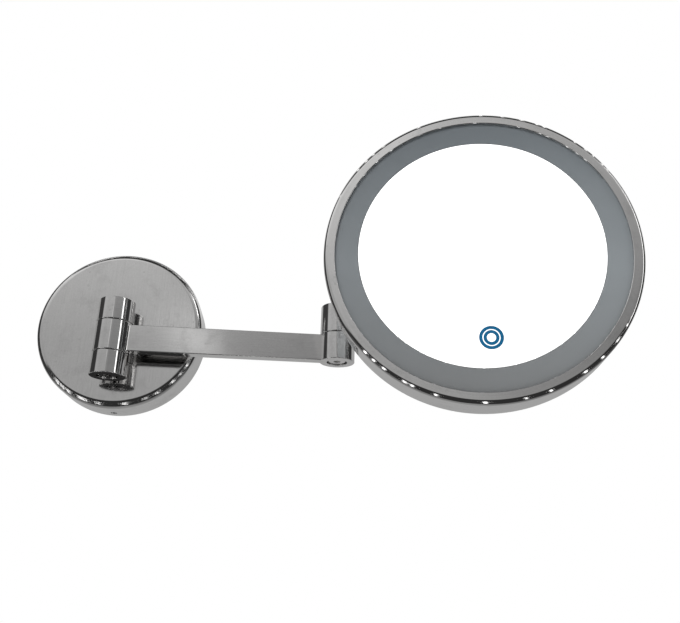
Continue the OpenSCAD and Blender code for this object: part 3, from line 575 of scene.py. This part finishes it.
# ------ Bushes and washers
# Moulded nylon bushes line the moving eyes. Their thin flanges show as a dark line between
# the barrels, and two washers do the same work in the tilt joint.

mottle, mottle_in, mottle_out = new_group(
    "mottled surface", [("Place", "Vector", None), ("Grain", "Float", 900.0)],
    [("Tone", "Float"), ("Wear", "Float"), ("Height", "Float")])
mottle_fine = noise(mottle, mottle_in["Place"], mottle_in["Grain"], 3.0)
mottle_broad = noise(mottle, mottle_in["Place"], 45.0, 4.0, 0.6)
mottle_tone = calculate(mottle, "MULTIPLY_ADD", mottle_fine, 0.35, mottle_broad)
mottle_shift = spread(mottle, mottle_tone, 0.40, 0.95)
soft_edge = add_node(mottle, "Bevel", {"Radius": 0.0005}, samples=4)
edge_turn = add_node(mottle, "VectorMath", {
    0: soft_edge.outputs[0],
    1: mottle.nodes.new("ShaderNodeNewGeometry").outputs["Normal"]}, operation="DOT_PRODUCT")
edge_mask = spread(mottle, edge_turn.outputs["Value"], 0.99, 0.88)
for label, value in (("Tone", mottle_shift), ("Height", mottle_fine),
                     ("Wear", calculate(mottle, "MULTIPLY", edge_mask, mottle_shift))):
    mottle.links.new(value, mottle_out[label])


def moulded(name, dark, light, worn, rough_low, rough_high, grain=900.0, bump=0.15):
    """A moulded or painted surface with an uneven tone, a fine grain and rubbed edges."""
    material, tree, shader, place = new_material(name)
    worked = add_node(tree, "Group", node_tree=mottle)
    tree.links.new(place, worked.inputs["Place"])
    worked.inputs["Grain"].default_value = grain
    tone = mix_colours(tree, worked.outputs["Tone"], dark, light)
    rubbed = mix_colours(tree, worked.outputs["Wear"], tone, worn)
    rough = spread(tree, worked.outputs["Tone"], to_low=rough_low, to_high=rough_high)
    feed(tree, shader, rubbed, rough, worked.outputs["Height"], bump, 0.0002)
    return material


nylon = moulded("dark_nylon", (0.018, 0.018, 0.019), (0.035, 0.035, 0.036),
                (0.09, 0.09, 0.09), 0.35, 0.5)
dress(nylon, "wall_hinge_bushes", "elbow_bushes", "swivel_bushes", "tilt_bush", "tilt_washers")

# ------ Yoke
# A milled brass fork holds the tip eye between two leaves, and its tongue reaches to the
# tilt joint. A bolt, two disc springs and a nut clamp it round the tip eye.

tilt_at = joint_at["head_tilt"]
tilt_axis = next(
    Vector(joint["axis"]) for joint in frame["joints"] if joint["name"] == "head_tilt")
head_turn = math.atan2(tilt_axis.y, tilt_axis.x)
swivel_place = at(swivel_at.x, swivel_at.y, rear_height) @ turned(head_turn, "Z")
tilt_reach = (tilt_at.xy - swivel_at.xy).length
leaf_r = 0.009
leaf_start = 0.0104
leaf_end = 0.0139
web_back = -0.0115
web_front = -0.015
tongue_r = 0.005
swivel_r = 0.0035
tilt_r = 0.003
tilt_bush_hole_r = 0.00402
nut_h = 0.004
thread_end = 0.005
# Keeps the two halves of a full round from meeting
round_gap = 0.00001
milled_chrome = chrome("chrome_milled", (900, 900, 60), roughness=0.05, line_depth=0.4,
                       bump=0.04)

yoke = add_block("yoke_fork", (-leaf_r, web_front, -leaf_end), (leaf_r, leaf_r, leaf_end))
round_edges(yoke, leaf_r - round_gap, 20,
            lambda a, b: abs(a.z - b.z) > 0.02 and a.y > 0 and b.y > 0)
round_edges(yoke, chamfer, 2,
            lambda a, b: abs(abs(a.z) - leaf_end) < 1e-5 and abs(a.z - b.z) < 1e-6)
combine(yoke, add_block("slot", (-through, web_back, -leaf_start),
                        (through, through, leaf_start)))
tongue = add_block("tongue", (-tongue_r, -tilt_reach - tongue_r, -tongue_r),
                   (tongue_r, web_front + past, tongue_r))
round_edges(tongue, tongue_r - round_gap, 14,
            lambda a, b: abs(a.x - b.x) > 0.005 and a.y < -tilt_reach and b.y < -tilt_reach)
combine(yoke, tongue, "UNION")
drill(yoke, swivel_r + seat_gap)
tilt_hole_place = at(0, -tilt_reach) @ turned(quarter, "Y")
drill(yoke, tilt_bush_hole_r, -through_wall, through_wall, tilt_hole_place)
hand_over(yoke, swivel_place, milled_chrome, "chrome", "yoke", "head_yoke")

swivel_bolt = make_cap_screw("swivel_cap_bolt", 2 * leaf_end + spring_pack + thread_end,
                             head_r=0.006, head_h=0.0025, shank_r=swivel_r, socket_r=0.0028)
hand_over(swivel_bolt, swivel_place @ at(0, 0, leaf_end), ground_steel, "steel", "yoke",
          "swivel_bolt")


def make_nut(name, corner_r, height, hole_r):
    """A hexagon nut with its corners eased."""
    piece = add_cylinder(name, corner_r, 0, height, 6)
    round_edges(piece, easing, 2, lambda a, b: True)
    drill(piece, hole_r, -past, height + past)
    return piece


swivel_nut = make_nut("swivel_hexagon_nut", 0.0065, nut_h, swivel_r + seat_gap)
hand_over(swivel_nut, swivel_place @ at(0, 0, -leaf_end - spring_pack - nut_h), zinc_steel,
          "steel", "yoke", "swivel_nut")

# ------ Tilt bracket
# A brass plate with two cheeks is screwed to the back of the head. A bolt with friction
# washers clamps the yoke's tongue between the cheeks.

head_nod = math.radians(1)
head_standoff = 0.009
head_rise = 0.021
head_place = (at(*tilt_at) @ turned(head_turn, "Z") @ turned(head_nod, "X")
              @ at(0, -head_standoff, head_rise) @ turned(quarter, "X"))
tilt_line = at(0, -head_rise, -head_standoff) @ turned(quarter, "Y")
plate_t = 0.0025
plate_half_w = 0.017
plate_half_h = 0.015
plate_corner_r = 0.0015
cheek_in = 0.0055
cheek_out = 0.0095
small_screw_r = 0.0015
small_hole_r = small_screw_r + 0.0001
bracket_screws_at = [(x * 0.013, y * 0.011 - head_rise) for x in (-1, 1) for y in (-1, 1)]

bracket = add_block("bracket_plate", (-plate_half_w, -head_rise - plate_half_h, -plate_t),
                    (plate_half_w, -head_rise + plate_half_h, 0))
round_edges(bracket, plate_corner_r, 4, lambda a, b: abs(a.z - b.z) > 0.001)
round_edges(bracket, 0.0004, 2,
            lambda a, b: abs(a.z + plate_t) < 1e-5 and abs(b.z + plate_t) < 1e-5)
cheeks = add_block("cheeks", (-cheek_out, -head_rise - tongue_r, -head_standoff - tongue_r),
                   (cheek_out, -head_rise + tongue_r, -plate_t + 0.0005))
round_edges(cheeks, tongue_r - round_gap, 14,
            lambda a, b: abs(a.x - b.x) > 0.005 and a.z < -head_standoff and b.z < -head_standoff)
combine(cheeks, add_block("slot", (-cheek_in, -2 * through, -1.5 * through),
                          (cheek_in, 0, through_wall)))
combine(bracket, cheeks, "UNION")
drill(bracket, tilt_r + seat_gap, place=tilt_line)
for x, y in bracket_screws_at:
    drill(bracket, small_hole_r, -through_wall, through_wall, at(x, y), 32)
hand_over(bracket, head_place, milled_chrome, "chrome", "head", "tilt_bracket")

tilt_bolt = make_cap_screw("tilt_cap_bolt", 2 * cheek_out + thread_end, head_r=0.005,
                           head_h=0.003, shank_r=tilt_r, socket_r=0.0024)
hand_over(tilt_bolt, head_place @ tilt_line @ at(0, 0, cheek_out), ground_steel, "steel", "head",
          "tilt_bolt")

tilt_nut = make_nut("tilt_hexagon_nut", 0.00525, nut_h, tilt_r + seat_gap)
hand_over(tilt_nut, head_place @ tilt_line @ at(0, 0, -cheek_out - nut_h), zinc_steel, "steel",
          "head", "tilt_nut")


def cut_cross(piece, reach, half, low, high):
    """Cuts a cross slot for a screwdriver between two heights."""
    for wide, deep in ((reach, half), (half, reach)):
        combine(piece, add_block("cross", (-wide, -deep, low), (wide, deep, high)))


def make_pan_screw(name, head_r, head_h, shank_r, shank_length):
    """A small screw with a low domed head above zero and a cross slot."""
    piece = add_cylinder(name, head_r, 0, head_h, 48)
    round_edges(piece, head_h * 0.7, 5, circle_edge(head_h, head_r))
    add_shank(piece, head_r, shank_r, shank_length)
    cut_cross(piece, head_r * 0.6, head_r * 0.14, head_h * 0.45, head_h + past)
    return piece


def copy_to(piece, places):
    """Puts a copy of the piece, each with its own mesh, at each place, and joins them."""
    copies = []
    for place in places:
        copy = piece.copy()
        copy.data = piece.data.copy()
        bpy.context.scene.collection.objects.link(copy)
        put(copy, place)
        copies.append(copy)
    name = piece.name
    bpy.data.objects.remove(piece)
    bpy.ops.object.select_all(action="DESELECT")
    for copy in copies:
        copy.select_set(True)
    bpy.context.view_layer.objects.active = copies[0]
    bpy.ops.object.join()
    copies[0].name = name
    return copies[0]


# Joined copies are in place already, so they are handed over without a move
bracket_screws = copy_to(
    make_pan_screw("bracket_pan_screws", head_r=0.002775, head_h=0.002,
                   shank_r=small_screw_r, shank_length=0.008),
    [head_place @ at(x, y, -plate_t) @ turned_over for x, y in bracket_screws_at])
hand_over(bracket_screws, Matrix(), zinc_steel, "steel", "head", "bracket_screws")
dress(zinc_steel, "bracket_backing", "board_screws")

# ------ Head rim
# One spun brass ring makes the side wall and the flat front lip of the head. It is polished
# on the wheel and plated, and the glass is fitted into it from the back.

head_r = 0.100
head_depth = 0.0273
rim_wall = 0.002
rim_edge_r = 0.00315
rim_back_r = 0.001
lip_inner_r = 0.0924
lip_t = 0.0018
# Where a tool that cuts the head's front open ends, well past it
head_past = 0.05

turning, turning_in, turning_out = new_group(
    "lines round an axis", [("Place", "Vector", None)], [("Lines", "Vector")])
turning_parts = add_node(turning, "SeparateXYZ", {0: turning_in["Place"]}).outputs
turning_flat = add_node(turning, "CombineXYZ", {
    "X": turning_parts["X"], "Y": turning_parts["Y"]})
turning_r = add_node(turning, "VectorMath", {0: turning_flat.outputs[0]},
                     operation="LENGTH").outputs["Value"]
turning_lines = add_node(turning, "CombineXYZ", {
    "X": calculate(turning, "MULTIPLY", turning_r, 1500.0),
    "Y": calculate(turning, "MULTIPLY", turning_parts["Z"], 1500.0),
    "Z": calculate(turning, "ARCTAN2", turning_parts["Y"], turning_parts["X"])})
turning.links.new(turning_lines.outputs[0], turning_out["Lines"])


def in_head(tree, place):
    """The place seen from the head: X right, Y up and Z forwards from its back."""
    return add_node(tree, "Mapping", {
        "Vector": place, "Location": head_place.translation,
        "Rotation": head_place.to_euler()}, vector_type="TEXTURE").outputs[0]


rim_chrome = chrome("chrome_spun", (1, 1, 1), roughness=0.025, line_depth=0.3, bump=0.025)
rim_tree = rim_chrome.node_tree
rim_place = next(
    node for node in rim_tree.nodes if node.type == "TEX_COORD").outputs["Object"]
rim_lines = add_node(rim_tree, "Group", {0: in_head(rim_tree, rim_place)},
                     node_tree=turning)
rim_polish = next(
    node for node in rim_tree.nodes if node.type == "GROUP" and node.node_tree == polish)
rim_tree.links.new(rim_lines.outputs[0], rim_polish.inputs["Lines"])

rim = add_cylinder("head_spun_rim", head_r, 0, head_depth, sides=320)
round_edges(rim, rim_edge_r, 10, circle_edge(head_depth, head_r))
round_edges(rim, rim_back_r, 4, circle_edge(0, head_r))
drill(rim, head_r - rim_wall, -through_wall, head_depth - lip_t, sides=320)
drill(rim, lip_inner_r, -through_wall, head_past, sides=320)
round_edges(rim, chamfer, 3, circle_edge(head_depth, lip_inner_r))
hand_over(rim, head_place, rim_chrome, "chrome", "head", "head_rim")

# ------ Light band
# A flat ring of glass, etched so that it spreads the light of the LEDs behind it. The rim's
# lip holds it at the outside.

glass_r = 0.0775
glass_back = 0.0225
glass_front = 0.0255
band_inner_r = 0.07765
band_outer_r = 0.09785

frosted, frosted_tree, frosted_shader, frosted_at = new_material("etched_glass")
frosted_place = in_head(frosted_tree, frosted_at)
etch = noise(frosted_tree, frosted_place, 2200.0, 2.0)
cloud = noise(frosted_tree, frosted_place, 18.0, 2.0)
band_place = add_node(frosted_tree, "SeparateXYZ", {0: frosted_place}).outputs
# Painted shade: the band's colour is darkest at its top, a little darker at its bottom than
# across its middle, and the cloud adds random tone on top
painted_shade_by_height = spread(frosted_tree, band_place["Y"], -0.095, 0.095)
band_painted_shade = add_node(frosted_tree, "ValToRGB", {
    0: calculate(frosted_tree, "MULTIPLY_ADD", cloud, 0.12, painted_shade_by_height)})
band_painted_shade.color_ramp.elements.new(0.5)
for point, colour in zip(band_painted_shade.color_ramp.elements, (
        (0.189, 0.194, 0.196, 1), (0.238, 0.259, 0.273, 1), (0.156, 0.175, 0.189, 1))):
    point.color = colour
# Painted light: the band's colour grows up to 28 percent lighter towards its right side
band_colour_with_painted_light = add_node(frosted_tree, "VectorMath", {
    0: band_painted_shade.outputs[0], 3: spread(frosted_tree, band_place["X"], -0.095, 0.095, 1.0, 1.28)},
    operation="SCALE")
feed(frosted_tree, frosted_shader, band_colour_with_painted_light.outputs[0],
     spread(frosted_tree, etch, to_low=0.50, to_high=0.66), etch, 0.08, 0.0001)

band = add_cylinder("light_band_ring", band_outer_r, glass_back, glass_front, sides=320)
drill(band, band_inner_r, 0, head_past, sides=320)
round_edges(band, fine_easing, 2, circle_edge(glass_front, band_inner_r))
hand_over(band, head_place, frosted, "frosted_glass", "head", "light_band")

# ------ Mirror
# A round disc of float glass, silvered and taped to the light tray. Two shallow rings are
# cut into its face for the touch symbol.

symbol_at = Vector((0.0043, -0.0583, 0))
symbol_rings = [(0.0074, 0.0054), (0.00475, 0.00275)]
symbol_depth = 0.0003
symbol_proud = 0.00005

silver, silver_tree, silver_shader, silver_at = new_material("silvered_glass")
silver_smear = noise(silver_tree, silver_at, 26.0, 6.0, 0.65)
silver_mask = spread(silver_tree, silver_smear, 0.55, 0.8)
silver_tone = mix_colours(silver_tree, silver_mask, (0.95, 0.955, 0.955), (0.92, 0.925, 0.92))
feed(silver_tree, silver_shader, silver_tone,
     spread(silver_tree, silver_mask, to_low=0.008, to_high=0.06), silver_smear, 0.01)
silver_shader.inputs["Metallic"].default_value = 1.0


def make_ring(name, outer_r, inner_r, low, high):
    piece = add_cylinder(name, outer_r, low, high, 128)
    drill(piece, inner_r, low - past, high + past, sides=128)
    return piece


mirror = add_cylinder("mirror_disc", glass_r, glass_back, glass_front, sides=320)
round_edges(mirror, easing, 3, circle_edge(glass_front, glass_r))
for outer_r, inner_r in symbol_rings:
    groove = make_ring("groove", outer_r + seat_gap, inner_r - seat_gap,
                       glass_front - symbol_depth, glass_front + past)
    put(groove, at(*symbol_at))
    combine(mirror, groove)
hand_over(mirror, head_place, silver, "mirror", "head", "mirror_glass")

# ------ Touch symbol
# Two rings of blue enamel are printed into the grooves of the mirror. A finger on them
# switches the light.

enamel = moulded("blue_enamel", (0.0006, 0.125, 0.28), (0.001, 0.15, 0.33),
                 (0.03, 0.19, 0.35), 0.25, 0.38, grain=1600.0, bump=0.05)
symbol_parts = []
for outer_r, inner_r in symbol_rings:
    ring = make_ring("touch_symbol_rings", outer_r, inner_r, glass_front - symbol_depth,
                     glass_front + symbol_proud)
    symbol_parts.append(put(ring, head_place @ at(*symbol_at)))
combine(symbol_parts[0], symbol_parts[1], "UNION")
hand_over(symbol_parts[0], Matrix(), enamel, "symbol_blue", "head", "touch_symbol")

# ------ Light tray and tape
# A moulded white tray spreads the light and carries the LED board. Foam tape bonds the
# mirror to its hub, and a rubber gasket seals its outer wall.

white_plastic = moulded("white_moulding", (0.70, 0.70, 0.68), (0.80, 0.80, 0.78),
                        (0.85, 0.85, 0.84), 0.38, 0.5, grain=700.0)
rubber = moulded("black_rubber_tape", (0.010, 0.010, 0.011), (0.022, 0.022, 0.023),
                 (0.05, 0.05, 0.05), 0.7, 0.85, grain=1300.0, bump=0.4)
dress(white_plastic, "light_tray")
dress(rubber, "glass_tape", "rim_gasket", "touch_pad")

# ------ Circuit boards and LEDs
# Glass fibre boards with copper tracks under green lacquer: a ring for the LEDs, a control
# board on the back cover and a small touch board behind the symbol.

board, board_tree, board_shader, board_at = new_material("green_circuit_board")
tracks = add_node(board_tree, "TexBrick", {
    "Vector": board_at, "Scale": 420.0, "Mortar Size": 0.035,
    "Brick Width": 0.9, "Row Height": 0.35}, offset=0.4).outputs["Fac"]
weave = noise(board_tree, board_at, 1800.0, 2.0)
feed(board_tree, board_shader,
     mix_colours(board_tree, tracks, (0.010, 0.085, 0.035), (0.030, 0.190, 0.080)),
     spread(board_tree, weave, to_low=0.22, to_high=0.42),
     calculate(board_tree, "MULTIPLY_ADD", weave, 0.2, tracks), 0.3, 0.0001)
dress(board, "led_board", "control_board", "touch_board")

phosphor = moulded("led_phosphor", (0.82, 0.72, 0.30), (0.90, 0.84, 0.52),
                   (0.90, 0.90, 0.85), 0.18, 0.3, grain=2500.0, bump=0.1)
dress(phosphor, "leds")
chip_black = moulded("moulded_chip", (0.012, 0.012, 0.014), (0.030, 0.030, 0.034),
                     (0.12, 0.12, 0.12), 0.4, 0.6, grain=2600.0, bump=0.2)
dress(chip_black, "control_parts")

# ------ Battery box and leads
# A black moulded box with plated spring contacts holds three cells in printed sleeves. Red
# leads join it to the control board and the LED ring.

black_plastic = moulded("black_moulding", (0.014, 0.014, 0.015), (0.030, 0.030, 0.032),
                        (0.09, 0.09, 0.09), 0.38, 0.55, grain=800.0)
sleeve = moulded("printed_sleeve", (0.012, 0.020, 0.032), (0.028, 0.040, 0.058),
                 (0.30, 0.30, 0.30), 0.22, 0.36, grain=500.0, bump=0.05)
insulation = moulded("red_insulation", (0.33, 0.010, 0.008), (0.46, 0.020, 0.014),
                     (0.50, 0.08, 0.06), 0.3, 0.45, grain=1500.0, bump=0.08)
dress(black_plastic, "battery_box")
dress(sleeve, "battery_cells")
dress(ground_steel, "battery_contacts")
dress(insulation, "leads")

# ------ Back cover
# A moulded disc with a fine texture closes the back of the head. Six countersunk screws
# fix it to the tray's posts, and the control board stands on four posts inside.

back_cover_r = 0.09785
back_cover_t = 0.0025
door_at = 0.027
door_half_w = 0.02985
door_half_h = 0.02395
door_gap = 0.00015
door_sunk = 0.0003
tab_at = 0.05335
tab_half_w = 0.005
tab_half_h = 0.0025
cover_screws_r = 0.085675
cover_hole_r = 0.0017
cover_sink_r = 0.003
cover_sink_depth = 0.0017
# The sinking tool stands this far past the face, and its cone this far past both circles
sink_past = 0.0002
cone_past = 0.00013
post_r = 0.003
post_h = 0.008
post_hole_r = 0.00102
countersunk_r = 0.0028
countersunk_length = 0.0075
cover_screw_turns = [math.radians(15 + 60 * turn) for turn in range(6)]
cover_screws_at = [(cover_screws_r * math.cos(turn), cover_screws_r * math.sin(turn))
                   for turn in cover_screw_turns]
board_posts_at = [(x * 0.018, -0.054 + y * 0.008) for x in (-1, 1) for y in (-1, 1)]

textured = moulded("textured_moulding", (0.29, 0.30, 0.305), (0.34, 0.35, 0.355),
                   (0.42, 0.43, 0.43), 0.42, 0.58, grain=1700.0, bump=0.5)

back_cover = add_cylinder("back_cover_disc", back_cover_r, 0, back_cover_t, sides=320)
round_edges(back_cover, easing, 3, circle_edge(0, back_cover_r))
for middle, half_w, half_h in ((door_at, door_half_w, door_half_h),
                               (tab_at, tab_half_w, tab_half_h)):
    combine(back_cover, add_block(
        "opening", (-half_w - door_gap, middle - half_h - door_gap, -through_wall),
        (half_w + door_gap, middle + half_h + door_gap, through_wall)))
for x, y in cover_screws_at:
    drill(back_cover, cover_hole_r, -through_wall, through_wall, at(x, y), 48)
    bpy.ops.mesh.primitive_cone_add(
        vertices=48, radius1=cover_sink_r + cone_past, radius2=cover_hole_r - cone_past,
        depth=cover_sink_depth, location=(x, y, cover_sink_depth / 2 - sink_past))
    sink = bpy.context.object
    bpy.ops.object.transform_apply()
    combine(back_cover, sink)
for x, y in bracket_screws_at:
    drill(back_cover, small_hole_r, -through_wall, through_wall, at(x, y), 32)
for x, y in board_posts_at:
    post = add_cylinder("post", post_r, back_cover_t - past / 2, post_h, 48)
    combine(back_cover, put(post, at(x, y)), "UNION")
    drill(back_cover, post_hole_r, back_cover_t - past, through_wall, at(x, y), 32)
hand_over(back_cover, head_place, textured, "back_plastic", "head", "back_cover")

cover_screw = add_cylinder("cover_countersunk_screws", countersunk_r, 0.0001, 0.0015, 48)
open_with(cover_screw, "FACE", end_face(0.0015))
bpy.ops.transform.resize(value=(small_screw_r / countersunk_r, small_screw_r / countersunk_r, 1))
bpy.ops.mesh.extrude_region_move(
    TRANSFORM_OT_translate={"value": (0, 0, countersunk_length)})
bpy.ops.object.mode_set(mode="OBJECT")
cut_cross(cover_screw, 0.0016, 0.0004, -past, 0.0012)
cover_screws = copy_to(cover_screw, [
    head_place @ at(x, y) @ turned(turn, "Z")
    for (x, y), turn in zip(cover_screws_at, cover_screw_turns)])
hand_over(cover_screws, Matrix(), zinc_steel, "steel", "head", "cover_screws")

# ------ Battery door
# A moulded door with a finger grip lies flush in the back cover over the battery box. One
# small screw through its tab keeps it shut.

door_hole_r = 0.0017
grip_from_edge = 0.005
grip_step = 0.0022
grip_half_w = 0.012
grip_half_h = 0.0005
grip_depth = 0.0004

door = add_block("battery_door_panel", (-door_half_w, door_at - door_half_h, door_sunk),
                 (door_half_w, door_at + door_half_h, back_cover_t))
round_edges(door, easing, 2,
            lambda a, b: abs(a.z - door_sunk) < 1e-6 and abs(b.z - door_sunk) < 1e-6)
tab = add_block("tab", (-tab_half_w, tab_at - tab_half_h - 0.001, door_sunk + 0.00002),
                (tab_half_w, tab_at + tab_half_h, back_cover_t - 0.00002))
round_edges(tab, easing, 2, lambda a, b: a.z < 0.001 and b.z < 0.001)
combine(door, tab, "UNION")
drill(door, door_hole_r, -through_wall, through_wall, at(0, tab_at), 48)
for groove in range(5):
    middle = door_at - door_half_h + grip_from_edge + groove * grip_step
    combine(door, add_block("grip", (-grip_half_w, middle - grip_half_h, -past),
                            (grip_half_w, middle + grip_half_h, door_sunk + grip_depth)))
hand_over(door, head_place, textured, "back_plastic", "head", "battery_door")

door_screw = make_pan_screw("door_pan_screw", head_r=0.00225, head_h=0.0014,
                            shank_r=small_screw_r, shank_length=0.0067)
hand_over(door_screw, head_place @ at(0, tab_at, door_sunk) @ turned_over, zinc_steel, "steel",
          "head", "door_screw")

# ------ Studio
# A white sweep with soft light walls on both sides, a dark floor and ceiling with small
# lamps, and one large panel that only the mirror sees. The camera stands below the mirror.

bpy.context.scene.view_settings.view_transform = "Standard"
camera_at = (0.127453, -0.532241, -0.16854)
camera_swing = -0.069
camera_rise = 0.36
camera_roll = 0.028
camera_data = bpy.data.cameras.new("camera")
camera_data.lens = 37.46
camera_data.clip_start = 0.02
camera = bpy.data.objects.new("camera", camera_data)
bpy.context.scene.collection.objects.link(camera)
camera.matrix_world = (at(*camera_at) @ turned(camera_swing, "Z")
                       @ turned(quarter + camera_rise, "X") @ turned(camera_roll, "Z"))
bpy.context.scene.camera = camera

world = bpy.data.worlds.new("studio")
bpy.context.scene.world = world
world.use_nodes = True
sky = world.node_tree
sky.nodes.clear()


def sky_ramp(value, stops):
    """Grey levels over a value from zero to one."""
    ramp = add_node(sky, "ValToRGB", {0: value})
    points = ramp.color_ramp.elements
    while len(points) < len(stops):
        points.new(0.5)
    for point, (along, grey) in zip(points, stops):
        point.position = along
    for point, (along, grey) in zip(ramp.color_ramp.elements, stops):
        point.color = (grey, grey, grey, 1)
    return ramp.outputs[0]


looking = sky.nodes.new("ShaderNodeTexCoord").outputs["Generated"]
looking_parts = add_node(sky, "SeparateXYZ", {0: looking}).outputs
upwards = looking_parts["Z"]
forwards = calculate(sky, "MULTIPLY", looking_parts["Y"], -1.0)
bearing = calculate(sky, "ARCTAN2", looking_parts["X"], forwards)
around = spread(sky, bearing, -math.pi, math.pi)
leaning = calculate(sky, "MULTIPLY_ADD", upwards, 0.05, around)
walls = sky_ramp(leaning, [
    (0.14, 0.40), (0.165, 0.04), (0.300, 0.04), (0.315, 0.42), (0.40, 0.37), (0.455, 0.39),
    (0.49, 0.38), (0.503, 0.29), (0.53, 0.235), (0.655, 0.24), (0.660, 2.2), (0.672, 2.2),
    (0.678, 0.03), (0.80, 0.03), (0.82, 0.40)])
streak_across = sky_ramp(leaning, [(0.485, 0.0), (0.491, 0.30), (0.495, 0.30), (0.500, 0.0)])
streak_up = sky_ramp(spread(sky, upwards, -1.0, 1.0), [
    (0.628, 0.0), (0.642, 1.0), (0.662, 1.0), (0.680, 0.0)])
walls_graded = calculate(sky, "MULTIPLY", walls, spread(sky, upwards, 0.28, 0.60, 1.0, 2.0))
walls_lit = calculate(sky, "MULTIPLY_ADD", streak_across, streak_up, walls_graded)
floor_edge = calculate(sky, "MULTIPLY_ADD", forwards, -0.40, upwards)
wall_share = calculate(
    sky, "MULTIPLY", spread(sky, floor_edge, -0.36, -0.24, kind="SMOOTHSTEP"),
    spread(sky, upwards, 0.78, 0.68, kind="SMOOTHSTEP"))
floor_tone = sky_ramp(around, [
    (0.0, 0.30), (0.20, 0.20), (0.30, 0.03), (0.70, 0.03), (0.80, 0.20), (1.0, 0.30)])

# The lamps lie in a ring round the head's own axis, and show as dots along its rounded edge.
head_from_camera = (0.244, 0.870, 0.43)
lamp_half = add_node(sky, "VectorMath", {
    0: add_node(sky, "VectorMath", {0: looking, 1: head_from_camera},
                operation="SUBTRACT").outputs[0]}, operation="NORMALIZE")
lamp_parts = [add_node(sky, "VectorMath", {
    0: lamp_half.outputs[0], 1: head_place.col[axis].xyz},
    operation="DOT_PRODUCT").outputs["Value"] for axis in range(3)]
lamps = add_node(sky, "TexVoronoi", {
    "W": calculate(sky, "ARCTAN2", lamp_parts[1], lamp_parts[0]), "Scale": 13.0},
                 voronoi_dimensions="1D").outputs
lamp_chance = add_node(sky, "SeparateColor", {"Color": lamps["Color"]}).outputs
lamp_ends = spread(sky, lamp_chance[1], to_low=0.09, to_high=0.19)
lamp_inside = calculate(sky, "SUBTRACT", lamp_ends, lamps["Distance"])
lamp_spots = spread(sky, lamp_inside, 0.0, 0.03)
lamp_strip = calculate(
    sky, "MULTIPLY", spread(sky, lamp_parts[2], 0.64, 0.70, kind="SMOOTHSTEP"),
    spread(sky, lamp_parts[2], 0.91, 0.86, kind="SMOOTHSTEP"))
lamp_choice = calculate(sky, "MULTIPLY", calculate(sky, "GREATER_THAN", lamp_chance[0], 0.45),
                        lamp_strip)
lamp_level = calculate(sky, "MULTIPLY", lamp_choice, spread(sky, upwards, 0.0, 0.4, 2.4, 1.4))
floor_lit = calculate(sky, "MULTIPLY_ADD", lamp_spots, lamp_level, floor_tone)
surroundings = mix_colours(sky, wall_share, floor_lit, walls_lit)
surroundings_light = add_node(sky, "Background", {"Color": surroundings})
white_light = add_node(sky, "Background", {"Color": (1, 1, 1, 1)})
sky_mix = add_node(sky, "MixShader", {
    0: sky.nodes.new("ShaderNodeLightPath").outputs["Is Camera Ray"],
    1: surroundings_light.outputs[0], 2: white_light.outputs[0]})
add_node(sky, "OutputWorld", {0: sky_mix.outputs[0]})


def add_panel(name, stand, aim, size, watts):
    """A square soft light that points from one place to another."""
    data = bpy.data.lights.new(name, "AREA")
    data.size = size
    data.energy = watts
    panel = bpy.data.objects.new(name, data)
    bpy.context.scene.collection.objects.link(panel)
    turn = (Vector(aim) - Vector(stand)).to_track_quat("-Z", "Y")
    panel.matrix_world = at(*stand) @ turn.to_matrix().to_4x4()
    panel.visible_camera = False
    return panel


for name, stand, aim, size, watts in (
        ("key_panel", (-0.7, -1.3, 1.1), (0.15, -0.08, 0.0), 0.9, 16.0),
        ("back_panel", (-0.6, 1.5, 0.9), (0.15, 0.0, 0.0), 1.0, 16.0),
        ("top_panel", (0.14, 0.35, 2.2), (0.14, 0.1, -0.6), 2.2, 75.0)):
    add_panel(name, stand, aim, size, watts).visible_glossy = False
mirror_at = head_place @ Vector((0, 0, glass_front))
mirror_out = (head_place.to_3x3() @ Vector((0, 0, 1))).normalized()
mirror_panel_size = 6.0
mirror_panel_glow = 1.15
mirror_panel = add_panel("mirror_panel", mirror_at + mirror_out, mirror_at, mirror_panel_size,
                         mirror_panel_glow * math.pi * mirror_panel_size ** 2)
mirror_only = bpy.data.collections.new("mirror_only")
mirror_only.objects.link(mirror)
mirror_panel.light_linking.receiver_collection = mirror_only

bpy.ops.mesh.primitive_circle_add(vertices=96, radius=1.5, fill_type="NGON",
                                  location=(0.14, -0.08, -0.6))
studio_floor = bpy.context.object
studio_floor.name = "studio_floor"
bpy.ops.object.transform_apply()
studio_floor.visible_glossy = False
studio_floor.data.materials.append(moulded(
    "pale_floor", (0.78, 0.78, 0.78), (0.83, 0.83, 0.83), (0.8, 0.8, 0.8), 0.7, 0.9))
